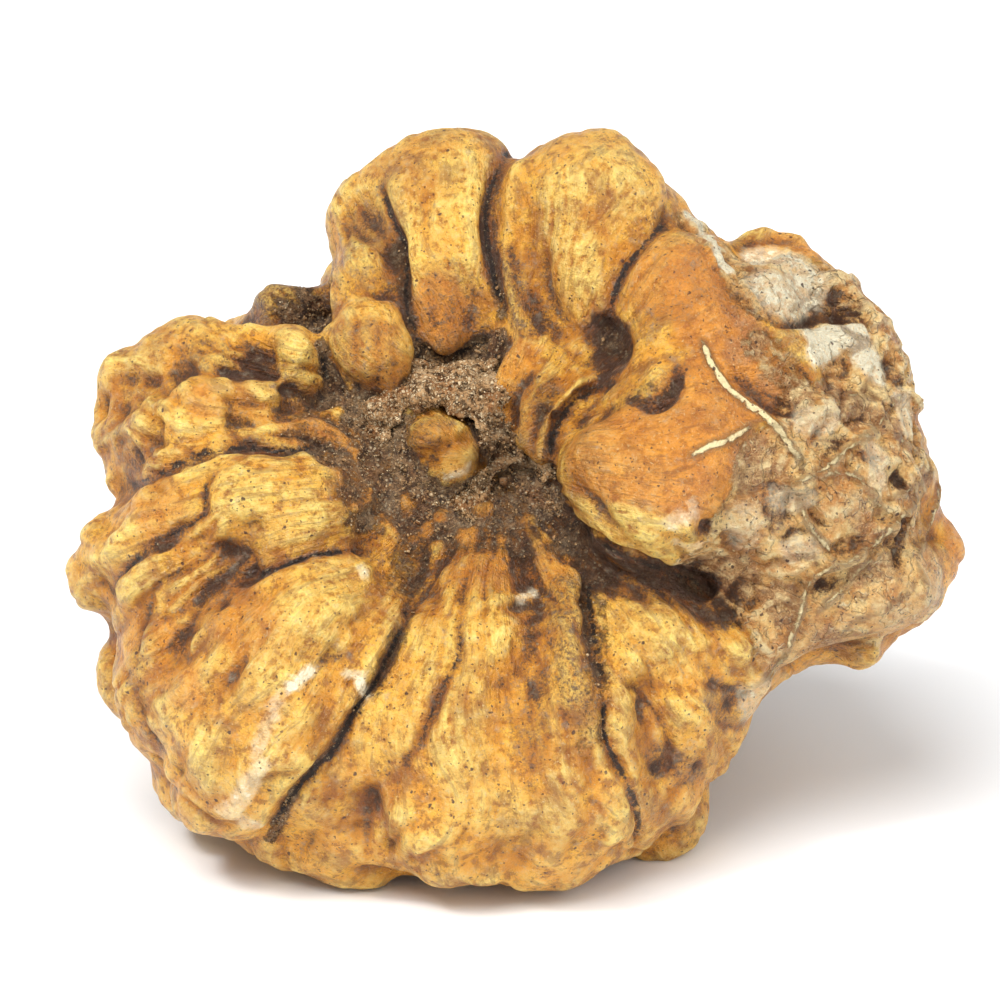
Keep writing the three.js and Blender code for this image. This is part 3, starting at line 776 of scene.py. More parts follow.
# %% [markdown]
# ## Where the colours lie
#
# The colours aren't painted on a picture: each one is a layer that says, point by point, how much of it there
# is. Most layers are brushed on with strokes, as the creases were. On the sides that the strokes don't reach,
# and on the ground between them, the layers follow the shape: dust and dark stain collect in valleys, which are
# also darkened as painted shade, and crests are rubbed pale and lightened as a painted highlight.

# %% Brush on the layers
LINE_REACH = 1.4  # a thin line's layer falls evenly from its strength to 0 this far from it, mm


def lines_of(surface, strokes, taper):
    """A layer for lines thinner than the squares of the skin: its height tells how near each point is to one,
    so that the shader can draw the line at any width. A low taper keeps a line wide up to its ends."""
    layer = np.zeros(len(surface.points))
    for strength, points in strokes:
        ids, side, share = near(surface, laid(surface, points), LINE_REACH)
        layer[ids] = np.maximum(layer[ids], strength * share ** taper * (1 - np.abs(side) / LINE_REACH))
    return layer


# thin raised lines of bare flesh: strength, which widens them, and points
CREAM_LINES = read_strokes("""
    1.06: 19.8 55.7, 20.7 54.1, 20.9 52.7, 21.9 51.4, 23.1 49.8, 24.6 48.8, 25.8 48, 27.4 46.8, 28.4 45.6,
    29.2 43.9, 30.9 42.3; 1: 26.8 47.4, 24.2 45.7, 22.1 44.7, 20.1 44.1, 18.1 43;
    0.93: 26.8 40.3, 28.9 40.4, 31 41.2, 33.3 42.7, 34.9 44.2, 36.5 45.3, 38.7 46.4;
    0.91: 31 40.7, 33.1 41.8, 35.7 41.5, 37 39.9, 38.1 38.2, 38.9 36.4;
    0.93: 29.6 40, 30 38.6, 30.6 36.9, 32 35.1, 33.3 33.6, 34.4 32.3; 0.93: 24.2 20, 26.1 21, 27.9 22.3,
    28.5 23.9, 29.2 25.6, 30 27.3, 30.4 28.6, 30.2 29.6, 31.3 31.2, 33.1 32.3, 34.7 32.8, 36.5 33.9,
    38.3 35.2, 39.6 36.6, 41.1 38.2, 42.8 40; 0.89: 31.1 27, 32 28, 33.5 29.3, 34.8 30.6, 35.7 32.1,
    37.2 33, 39.2 34.4; 0.89: 38.2 46.8, 39.8 45.2, 41 44.2, 42.6 43;
    0.93: 44.2 44.2, 44.3 42, 43.9 40.3, 43.6 38.2, 42.8 35.6, 41.5 32.7;
    0.85: 41.5 33.2, 42.2 31.2, 43.4 29.4; 0.85: 38.4 38.7, 40.2 39.6, 41.8 40.5, 43.6 42.4;
    0.93: 31 57.4, 33 57, 35.6 55, 38 54.8; 0.93: 33.4 53.4, 35.6 54.1, 37.8 55;
    0.89: 36.6 45.2, 38.6 47.4, 40.4 50, 41.4 50.2; 0.85: 33.8 46.4, 35.4 47.4, 36.4 49.6, 37.6 52.4;
    0.85: 31.6 49.2, 33.4 49.6, 36.4 49.4, 38.6 49; 0.83: 23 39.2, 24.8 40.2, 27.2 39.6;
    0.83: 22.4 36.6, 22.4 34.4, 24.6 33.2, 27 34.2; 0.81: 26.2 31.6, 28.2 33.2, 30.6 33.4, 32.8 33.4;
    0.79: 27.6 27, 29.4 29, 30 31.4; 0.79: 33.6 25.4, 36.4 27.2, 39.6 28.6, 42.4 31.6;
""")
# orange-brown skin
RUDDY = read_strokes("""
    1 6: 10 44.5, 15 44, 19.5 42.5; 1 5: 20 48.5, 23.5 51.5; 0.9 3.6: 26 52, 29.5 49.5;
    1 4.5: 20 61.5, 21.5 57.5; 0.7 3.5: 15.5 60.5, 16.5 64; 0.6 4: -13.6 54.4, -12 51.6;
    0.6 3: -6.4 44.6, -4.4 42.6; 0.8 3.4: -15 41, -8 37.6, 0 37; 0.5 2.6: -29 49.4, -19 48.4;
    0.8 2.6: -20 46.2, -15 45.2; 0.4 2.4: -36 51.6, -33 54; 0.9 3: -6 59, -5 56;
    0.6 3: 1.6 52.5, 1 48.5, 4 45; 0.5 4: -2 33, 5 33; 0.6 2.5: -31.6 20, -33.6 25; 0.5 4: -27 29, -24 25;
    0.5 3: -35 39, -33 36.5; 0.5 2.6: 15 7, 18.5 9.5; 0.9 2.4: 45.6 36, 46 31;
    0.6 2.4: 36 58.8, 39 54.6, 42.4 48, 44.2 44; 0.5 3: 43 28, 38 24; 0.6 2: 27.8 65.6, 31 64;
""")
# dark brown stains, and painted shade under the orange-brown bulge, in the pit, in the dent and on shaded
# flanks
STAIN_AND_SHADE = read_strokes("""
    0.9 4.5: -24 57.6, -20 59.6; 0.6 2.6: -30.3 53.6, -26 52, -21.7 51.4; 0.4 3: -30.4 27, -27 30;
    0.35 1.6: 2.6 70.6, 3.4 68; 0.6 2.6: -36.6 42.6, -38 45; 0.5 1.7: -11.4 70, -10.6 64.5, -9.6 58;
    0.5 2.5: -14.4 66, -15 62; 0.8 1.8: 0.2 63, 1.2 60, 2.8 56.6; 0.5 1.4: -7.6 58, -6.6 55.6;
    0.5 1.2: -3.8 58.6, -3.8 56; 0.4 0.8: -1.4 66.2, -0.3 59.9; 0.7 1.3: -8.8 44.2, -7.8 46.4, -5.6 47;
    0.9 0.7: -7.4 45.2, -6.2 44.6; 0.8 0.6: -6.6 43, -7.4 42.2; 0.5 0.7: -6.8 44.4, -5.4 44.6;
    0.6 1: -13 56.6, -10.4 56; 0.5 1.3: -15.4 53.6, -13.4 51.4; 1.2 2.6: 10.4 56, 12.4 54.6, 11.6 52.6;
    1.8 1.2: 10.8 54.8, 12 54; 1.3 0.8: 13 49, 14.4 48.5, 16.4 48.8, 17.6 50.2, 17.9 51.8;
    1.2 2.2: 0.2 54, -1.4 50.4, -1.6 47.4, 0.2 45.2; 0.6 3.2: -5 60.5, -4 56.5; 0.6 2.4: 3.4 50, 2.6 46.6;
    0.7 2.6: -4 57.6, -6 55.6, -2.6 55.4; 0.5 2.6: -15.4 54.8, -11.2 52; 0.6 2: -12.6 61, -10.6 59;
    0.4 1.8: 13 50.6, 14.8 48.8, 17.2 49.4, 18 51.8; 0.6 1.6: -15 50.6, -11 50.4;
    0.6 1.6: -26 44, -18 44.6; 0.5 2.4: -18.6 46.4, -14.6 45; 0.5 3: -15.6 41, -14.4 38;
    0.4 1.1: -29.4 39, -31.6 36.2, -36 33.2, -38.6 30; 0.45 1.8: -19.1 33.3, -24 31.2, -28.7 27.7;
    0.35 2: -24 33.6, -28 35; 0.5 1.6: -35.6 25.6, -36.6 21, -34.3 14.8;
    0.2 1.6: -4.4 27, -4.6 22.4, -7 17.4, -10 12; 0.6 3.4: -8 36, -2 36.4, 5 35.6; 0.4 4: -6 31.5, 2 31;
    0.6 1.6: 4.1 20.5, 3.5 16.4, 3.2 13.4; 0.5 0.9: 2.9 24.6, 3.8 28.7; 0.25 1.8: -17.6 9.9, -13.2 8.4;
    0.8 2.6: 6.6 30, 7.4 24, 8 18.6; 0.8 3: 9.9 32, 15.8 31, 21.7 28.6;
    1.8 1.5: 6.4 37.2, 9.4 34.6, 13.6 32.4, 18 31, 20.6 29.8; 0.8 1.9: 18.6 28.8, 21.6 27.2;
    0.7 2.1: 21.4 19.4, 24.4 17.4; 0.8 1.9: 15.5 13.2, 19.3 12; 0.5 1.6: 15.8 8.6, 18.4 6.4;
    0.5 1.4: 7.4 40.6, 10.2 38; 0.4 3: 17.6 62.8, 22 60; 0.5 1.8: 14 56.5, 17.5 57.8;
    0.4 2: 9 46, 12 48.4; 0.5 1.2: 27.4 36.9, 28.6 35.6; 0.6 1: 26.4 48.9, 29.6 47.7;
    0.6 0.8: 26.8 57, 29.2 56.4, 31.1 57.2, 33.6 57.4, 35.8 56.8;
    0.7 1.2: 31.6 58.4, 33.6 59.4, 35.4 58.2; 0.7 0.9: 23.4 64.4, 25.4 65.1, 28.2 64.9, 30 64.2;
    0.6 1.2: 25 62, 25.2 59.6, 26.4 57.8; 0.7 1: 38.2 53.1, 40.1 50.6; 0.6 1.1: 39.4 41.2, 40.2 40.2;
    0.5 0.7: 41.6 38.4, 40.9 36.9, 39.7 35.1, 39.9 32.7, 40 31.2; 0.4 1.2: 40 45.4, 42 43.6;
    0.4 1.4: 29.5 55, 30.3 53.8; 0.7 1: 20.2 36.2, 18.8 35.2; 0.6 0.9: 31.4 30.6, 32.6 29.8;
    0.4 1.8: 33.6 49.4, 36.4 48.2, 38 49.4; 0.6 0.9: 31.2 40.2, 31.4 38.8; 0.3 2: 35.8 37.8, 36.2 35.4;
    0.8 1.3: 27.2 39.6, 27.6 36.8; 0.7 1: 36.6 43.6, 37.4 42.6; 0.5 1.4: 31 52, 32.4 50.4;
    0.6 1: 31.6 45.2, 33.4 44.6;
""")
# soil that stuck to the skin
EARTH = read_strokes("""
    0.9 2.6: -14 47.6, -11 47, -7 51.4, -2 51.6; 0.5 5: -16 47, -11 46;
    0.9 1.8: -1.6 47, 0.2 43.6, 3 40.6, 5 38.6; 0.65 3.4: -12.6 43, -9 39.6, -2.6 38.6, 3.4 38.4;
    0.9 1.4: -10.4 47, -9.8 43, -7.6 40, -4 39.4; 0.7 1.2: -12.6 40.4, -8.6 38;
    0.9 2.4: -20.8 59, -18.6 57.4; 0.8 1.6: -8 53.8, -3 53.2, 0 54.8; 0.7 1.2: -18 54, -16.6 50, -14 48;
    0.4 1.6: 10.8 55, 12.4 54.2; 0.35 1.4: 14.4 49.6, 16.6 50.2; 0.5 3: -12 38, -4 36, 2 36, 6 35.6;
    0.45 2.2: -8.6 34.4, -9.6 30.4; 0.6 3.4: -16 42.6, -14 38.6; 0.5 3: -17 46.6, -19.4 44.4;
    0.5 0.8: -0.6 61, 0.4 57.4; 0.8 0.7: -20.5 9.9, -22.9 5.4; 0.35 1.6: -9.4 29, -10.9 24.2, -14.1 18.7;
    0.4 1.8: 8.9 34, 9 28.4, 9.6 20, 9.2 14.4; 0.3 1.2: 8.3 35.4, 13.6 32.6, 19.5 30.4;
    0.2 2.6: 12 31, 19.5 28.8; 0.4 0.9: -10.4 64, -9.2 60, -8.6 55.4; 0.4 1.6: 4.6 50, 3.2 46, 4.4 42;
    0.5 1.2: -0.2 54.8, -1.4 50.6, -2 47.8;
""")
# lumps that stand clear of the earth
CLEAN = read_strokes("""
    1 2.2: -6.4 45.4, -4.8 42.8; 0.9 3.4: -13.4 54.6, -11.6 52.4; 0.8 1.8: 2 52.4, 1.2 49, 2.6 46;
    0.7 1.4: -4.4 55.8;
""")
# bare flesh where the skin is chipped or torn
CREAM = read_strokes("""
    0.9 1: 19 67.4, 20.8 65.6, 21.6 64, 22.7 62.4; 0.66 2.6: 26.4 62.8, 29.6 62.4, 30.8 60.6, 28.6 58.8,
    27 60.4; 1 1.7: 31.4 55.4, 33.4 55.4, 35.6 55.6; 0.9 1.2: 31.6 53.8, 30.6 52.9, 33 54.2;
    0.8 1.5: 36.4 53.6, 38 51.8; 0.6 1.5: 40.2 49, 40.8 46.6; 0.5 1.5: 30.6 47, 32.6 46.4, 33.4 47.8;
    0.5 1.4: 28 39.4, 30.2 39.2; 0.45 1.5: 29.4 33.8, 31 34.4; 0.5 1.5: 37.6 43.6, 37.8 41.2;
    0.4 2: 24.4 37, 24.4 35.4; 0.5 0.8: 17.4 36.6, 18.2 37.4, 19.4 37.5;
    0.5 0.7: 17.6 34.9, 18.8 34.2, 20.2 34.5; 1 0.62: -21.4 19.9, -20.2 20.9, -18.9 22;
    0.45 0.8: -22.4 18.6, -23.2 16.6, -24.2 14; 0.55 1.1: -24 12.4, -25.4 9.8, -26.6 8.2;
    0.5 1.2: -27.4 7.6, -24.6 6.4; 0.6 0.5: -5.3 41.1, -4.2 41.8, -3 42.4; 0.9 0.6: -14 20.6, -13.5 19.6;
    0.6 0.5: -15.4 21.6, -13.8 21.4; 0.6 0.6: 2 29, 3.2 29.7; 0.5 0.8: -13.6 31.8;
    0.5 2.2: 25.4 20, 25.6 18.6;
""")
# skin rubbed to a light yellow, and painted highlights on lit crests
PALE = read_strokes("""
    0.8 2.2: 5.6 71, 6.4 66, 8 61; 0.7 2.4: 11.5 74, 13.6 70; 0.9 0.7: 8.4 71.4, 7.9 69;
    0.9 0.6: 11.9 72.5, 11.2 71.1; 0.8 0.6: 14 71.1, 12.6 69, 10.9 66.9;
    0.8 0.6: 15 70, 13.3 67.6, 11.2 65.9; 0.8 0.7: 8.8 66.3, 9.2 63.5, 8.8 60.1;
    0.7 0.6: 6.7 65.2, 7.8 62.8, 8.5 59.7; 0.6 1: 14.7 59.7, 16 62; 0.8 0.9: -8.9 68.4, -8.9 64.4;
    0.8 2.6: -3.4 72.6, -4.4 67, -4.8 62; 0.6 2.4: -13 69.5, -13.6 64; 0.8 2.2: -26.2 40.6, -24.6 40;
    0.7 3: -26 38.6, -20 37; 0.8 1.6: -31 42.2, -28.4 43.2; 0.7 1.8: -37 35.8, -40 32.4;
    0.8 2: -30.8 47.2, -27.6 47.8; 0.7 1.8: -20.4 52.8, -21.4 49.6; 0.6 1.6: -38 53.4, -35 52.8;
    0.5 2.2: -25 47, -22 46.8; 0.8 3.6: -19 27.4, -16 30; 0.7 3: -22 22.6, -18 24.6;
    0.6 2.4: -31.4 21, -34 16; 0.6 2.6: -22.6 14.4, -21.4 10.6; 0.6 2.4: -30 15, -28.6 11;
    0.6 3.2: -4 15, -2 9, 2 7; 0.5 2.4: -9 20, -12 14; 0.5 2.2: -1 25, -7.4 24.6; 0.5 1.8: 6.4 24, 6.8 20;
    0.8 2.4: 10.2 38.2, 14.2 36, 17.2 34.4; 0.8 2.2: 8.6 45, 11.6 42; 0.8 0.9: -5 43.2, -3.8 42;
    0.6 3: 13 27, 17 23.6; 0.4 3: 36 25.6, 41 28.6; 0.5 1.8: 34 38.8, 32.8 37.4;
    0.5 1.6: 12.4 8.6, 11.8 4.8;
""")
# greyish, mauve parts of the torn side
GREY = read_strokes("""
    0.9 2.2: 24.8 44, 25 41.8; 0.6 1.6: 27 43.6, 27.4 41.8; 0.9 1.8: 27.4 50.6, 29.8 49.4;
    0.7 1.8: 23.6 53.8, 26 54.8, 24.6 57; 0.8 2.4: 20 32.6, 24 31.4; 0.9 1.9: 27.8 29.2, 28.8 28;
    0.5 1.8: 35.6 38.4, 36.6 35.6; 0.7 1.5: 32.8 50, 36 48; 0.7 1.4: 34 47.6, 37.6 47.2, 39.4 46.4;
    0.7 1.6: 36 31.6, 38.8 32.6; 0.7 1.2: 41.4 40, 43 41.4; 0.6 1.8: 32.6 25.6, 34.6 24;
    0.5 2: 28.4 60.8, 30 59.6;
""")
FULL_SEAM = 1.1  # a crease that deep has a whole seam, and a shallower one a weaker seam, mm
LAYERS = {"ruddy": RUDDY, "stain": STAIN_AND_SHADE, "earth": EARTH, "cream": CREAM, "pale": PALE, "grey": GREY,
          "torn": TORN_SKIN}

layers = {name: covered(surface, strokes) for name, strokes in LAYERS.items()}
layers["earth"] *= 1 - covered(surface, CLEAN)
seams = [(min(1, depth / FULL_SEAM) ** 0.5, points) for depth, _, _, points in DEEP_CREASES + FOLDS]
layers["seam"] = lines_of(surface, seams, 0.7)
layers["vein"] = lines_of(surface, CREAM_LINES, 0.3)
print("strokes of colour:", {name: len(strokes) for name, strokes in LAYERS.items()})

# %% Let the layers follow the shape
FACE_EDGE = 6.0  # mm behind the middle at which the brushed face gives way to the sides and back

fine_hollow = surface.hollowness(6) / 0.08
middle_hollow = surface.hollowness(30) / 0.28
broad_hollow = surface.hollowness(BROAD_ROUNDS) / 1.1
patches = noise_at(surface.points, 9.0, 53.0)
behind = np.clip(((surface.points - np.array(MIDDLE) / MM) @ -np.array(OUT)) / FACE_EDGE + 0.6, 0, 1)

# the valley layer darkens the hollows: painted shade, with the dust and stain that gather there
layers["valley"] = 0.22 * np.clip(fine_hollow, 0, 1) + 0.22 * np.clip(middle_hollow - 0.2, 0, 1)
layers["valley"] += 0.60 * np.clip(broad_hollow, 0, 1)
# edges and crests are lightened: a painted highlight, with the skin rubbed pale there
layers["edge"] = np.clip(-0.5 * fine_hollow - 0.3 * middle_hollow, 0, 1)
layers["crest"] = np.clip(-0.15 * fine_hollow - 0.35 * middle_hollow - 0.50 * broad_hollow, 0, 1)
layers["earth"] *= np.clip(1.1 + 0.8 * np.minimum(middle_hollow, 0), 0.3, 1)
# on the sides and back: earth in hollows, stain with painted shade in hollows, ruddy patches, and pale crests
# with a painted highlight
grown_behind = {
    "earth": np.clip(0.9 * broad_hollow + 1.4 * patches - 0.5, 0, 0.8),
    "stain": np.clip(0.6 * broad_hollow + 1.5 * patches, 0, 0.6),
    "ruddy": np.clip(-2.0 * patches - 0.2, 0, 0.8),
    "pale": np.clip(layers["crest"] - 1.2 * patches, 0, 0.6),
}
for name, share in grown_behind.items():
    layers[name] = np.maximum(layers[name], behind * share)

clumps = noise_at(surface.points, 1.2, 97.0) + 0.5 * noise_at(surface.points, 0.7, 101.0)
surface.push(layers["earth"] * (0.10 + 0.45 * clumps))

# %% [markdown]
# ## The finished skin
#
# Collapsing edges with a Decimate modifier keeps small triangles in the creases and larger ones where the
# skin is plain. It would lose the layers, so each point of the result looks them up at the nearest carved
# points.

# %% Thin the mesh and hand over the layers
SKIN_TRIANGLES = 196000

thinner = skin.modifiers.new("thinner", "DECIMATE")
thinner.ratio = SKIN_TRIANGLES / (2 * len(skin.data.polygons))
settle(skin)

carved_points = KDTree(len(surface.points))
for k, point in enumerate(surface.points):
    carved_points.insert(point, k)
carved_points.balance()

finished = points_of(skin.data)
nearest = np.array([carved_points.find(point)[1] for point in finished])

for name, values in layers.items():
    layer = skin.data.attributes.new(name, "FLOAT", "POINT")
    layer.data.foreach_set("value", values[nearest])
layer = skin.data.attributes.new("grain", "FLOAT_VECTOR", "POINT")
layer.data.foreach_set("vector", grain_of(finished)[0].ravel())
skin.data.shade_smooth()

print("finished skin:", len(skin.data.polygons), "triangles,", len(layers), "layers")

# %% [markdown]
# ## Materials
#
# Every colour is mixed inside the shader from noise, from the grain and from the layers. A short helper adds
# a node, sets its inputs, and links those that come from another node. Lengths in the shader are metres, so a
# noise scale of 1000 has swells of about a millimetre.

# %% Helpers: build a material from nodes
class Recipe:
    """A material's nodes, added one at a time."""

    def __init__(self, name):
        self.material = bpy.data.materials.new(name)
        self.material.use_nodes = True
        self.tree = self.material.node_tree
        self.tree.nodes.clear()
        self.place = self.node("ShaderNodeTexCoord").outputs["Object"]

    def node(self, kind, inputs=None, **settings):
        """Adds a node. Inputs are values, or outputs of other nodes."""
        made = self.tree.nodes.new(kind)
        for name, value in settings.items():
            setattr(made, name, value)
        for key, value in (inputs or {}).items():
            if isinstance(value, bpy.types.NodeSocket):
                self.tree.links.new(value, made.inputs[key])
            else:
                made.inputs[key].default_value = value
        return made

    def layer(self, name):
        """How much of a layer there is."""
        return self.node("ShaderNodeAttribute", attribute_name=name).outputs["Fac"]

    def noise(self, size, detail=3.0, where=None, roughness=0.55):
        """Noise from 0 to 1 with swells of that many millimetres."""
        inputs = {"Vector": where or self.place, "Scale": 1 / (size * MM)}
        inputs.update(Detail=detail, Roughness=roughness)
        return self.node("ShaderNodeTexNoise", inputs).outputs["Fac"]

    def math(self, operation, a, b=0.0, c=0.0):
        return self.node("ShaderNodeMath", {0: a, 1: b, 2: c}, operation=operation).outputs[0]

    def times(self, a, b):
        return self.math("MULTIPLY", a, b)

    def plus(self, a, scale, rest):
        """a times scale, plus the rest."""
        return self.math("MULTIPLY_ADD", a, scale, rest)

    def bent(self, size, amount):
        """Object coordinates bent by noise, so that what is drawn on them is uneven, both in millimetres."""
        inputs = {"Vector": self.place, "Scale": 1 / (size * MM), "Detail": 1.0}
        waves = self.node("ShaderNodeTexNoise", inputs).outputs["Color"]
        inputs = {0: waves, 1: (amount * MM,) * 3, 2: self.place}
        return self.node("ShaderNodeVectorMath", inputs, operation="MULTIPLY_ADD").outputs["Vector"]

    def dots(self, size, radius, where):
        """Balls of a radius, one in every cell of a size, all in millimetres: where they are, and a number of
        its own from 0 to 1 for each."""
        cells = self.node("ShaderNodeTexVoronoi", {"Vector": where, "Scale": 1 / (size * MM)})
        own = self.node("ShaderNodeSeparateColor", {"Color": cells.outputs["Color"]}).outputs["Red"]
        return self.step(cells.outputs["Distance"], 1.2 * radius / size, 0.75 * radius / size), own

    def step(self, value, low, high):
        """0 below low and 1 above high, with a smooth slope between them."""
        inputs = {"Value": value, "From Min": low, "From Max": high}
        return self.node("ShaderNodeMapRange", inputs, interpolation_type="SMOOTHSTEP").outputs["Result"]

    def mix(self, share, a, b, how="MIX"):
        """Colour a, with a share of colour b."""
        return self.node("ShaderNodeMix", {0: share, 6: a, 7: b}, data_type="RGBA", blend_type=how).outputs[2]

    def tint(self, colour, share, strength, tone):
        """A colour with a tone over it, as far as share goes, at that strength."""
        return self.mix(self.times(share, strength), colour, tone)

    def finish(self, colour, roughness, normal, **constants):
        """Ends in one Principled shader."""
        inputs = {"Base Color": colour, "Roughness": roughness, "Normal": normal}
        shader = self.node("ShaderNodeBsdfPrincipled", inputs)
        for name, value in constants.items():
            shader.inputs[name.replace("_", " ")].default_value = value
        self.node("ShaderNodeOutputMaterial", {"Surface": shader.outputs["BSDF"]})
        return self.material


def paint(red, green, blue):
    """A colour as a paint chart gives it, from 0 to 255, turned into the amount of light it sends back."""
    parts = [c / 255 for c in (red, green, blue)]
    return (*(c / 12.92 if c <= 0.04045 else ((c + 0.055) / 1.055) ** 2.4 for c in parts), 1.0)


# %% Helpers: grown tints, thin lines, and earth for the skin and for the beds
def grown(r, share, grains, low=0.62, high=0.80, reach=0.60):
    """How far a tint has grown: it starts at the highest grains of a noise and closes up as share rises."""
    return r.step(r.plus(share, reach, grains), low, high)


def ridged(r, field, width):
    """Thin lines where a noise field crosses its middle."""
    return r.step(r.math("ABSOLUTE", r.math("SUBTRACT", field, 0.5)), width, 0.0)


def soil(r, where, sizes):
    """The colour and the height of earth full of sand: brown dust with pale and dark grains in it, of sizes
    given as the distance between them and their radius."""
    dust = r.noise(0.8, 5.0, roughness=0.75)
    colour = r.mix(r.step(dust, 0.41, 0.58), paint(62, 43, 27), paint(172, 134, 92))
    patches = r.noise(3.0, 3.0)
    colour = r.tint(colour, r.step(patches, 0.52, 0.68), 0.6, paint(190, 160, 120))
    colour = r.tint(colour, r.step(patches, 0.48, 0.34), 0.5, paint(140, 84, 40))
    height = dust
    for size, radius in sizes:
        grain, own = r.dots(size, radius, where)
        sand = r.mix(own, paint(90, 64, 42), paint(228, 204, 164))
        colour = r.tint(colour, grain, r.step(own, 0.20, 0.50), sand)
        height = r.plus(grain, 2.0 * radius, height)
    gaps = ridged(r, r.noise(0.9, 3.0, where), 0.030)
    colour = r.tint(colour, gaps, 0.7, paint(40, 26, 16))
    return colour, height


# %% [markdown]
# ### Truffle skin
#
# The skin is golden ochre, blotched lighter and darker, with fine streaks along the grain. Layer after layer
# goes on top: rubbed pale crests lightened as a painted highlight, orange-brown, the straw-coloured torn side,
# brown stains and brown painted shade in valleys, bare cream flesh, small dark dots everywhere, tiny pale
# flecks as painted glints, and dusty earth last. The edge of each layer is broken up by adding noise before the
# step, because a real stain never ends in a smooth line.

# %% Truffle skin
def torn_colour(r, wavy, mottle, fibres):
    """Papery skin: straw and grey-brown patches felted with fibres, pale crests partly lightened as a painted
    highlight, and thin plates with dark gaps of painted shade and pale edges of painted highlight. The second
    result is how far the plates stand up."""
    patches = r.noise(3.0, 4.0, wavy, roughness=0.6)
    colour = r.mix(r.step(patches, 0.36, 0.62), paint(212, 146, 76), paint(255, 206, 128))
    colour = r.tint(colour, r.step(patches, 0.56, 0.64), 0.60, paint(255, 228, 162))
    amber = r.times(r.step(r.noise(2.2, 3.0, roughness=0.6), 0.54, 0.64), 0.6)
    colour = r.mix(amber, colour, paint(204, 126, 46))
    grey = r.mix(r.step(fibres, 0.40, 0.62), paint(200, 154, 108), paint(136, 90, 54))
    colour = r.tint(colour, grown(r, r.layer("grey"), mottle, 0.60, 1.00, 0.7), 0.70, grey)
    colour = r.tint(colour, r.step(fibres, 0.54, 0.68), 0.60, paint(150, 96, 46))
    colour = r.tint(colour, r.step(fibres, 0.46, 0.34), 0.60, paint(255, 226, 160))
    # fine crests rubbed pale, partly a painted highlight
    rubbed_and_highlit = r.times(r.step(r.layer("edge"), 0.15, 0.70), r.step(mottle, 0.30, 0.62))
    colour = r.mix(rubbed_and_highlit, colour, paint(255, 226, 164))
    plates = r.noise(2.8, 3.0, wavy, roughness=0.55)
    # the dark gaps between the plates are painted shade, and their pale edges a painted highlight
    edges = r.times(ridged(r, r.math("SUBTRACT", plates, 0.026), 0.020), r.step(mottle, 0.38, 0.70))
    gaps = r.times(ridged(r, plates, 0.015), r.step(mottle, 0.40, 0.60))
    colour = r.mix(edges, colour, paint(255, 230, 176))
    return r.tint(colour, gaps, 0.80, paint(104, 62, 30)), r.step(plates, 0.49, 0.54)


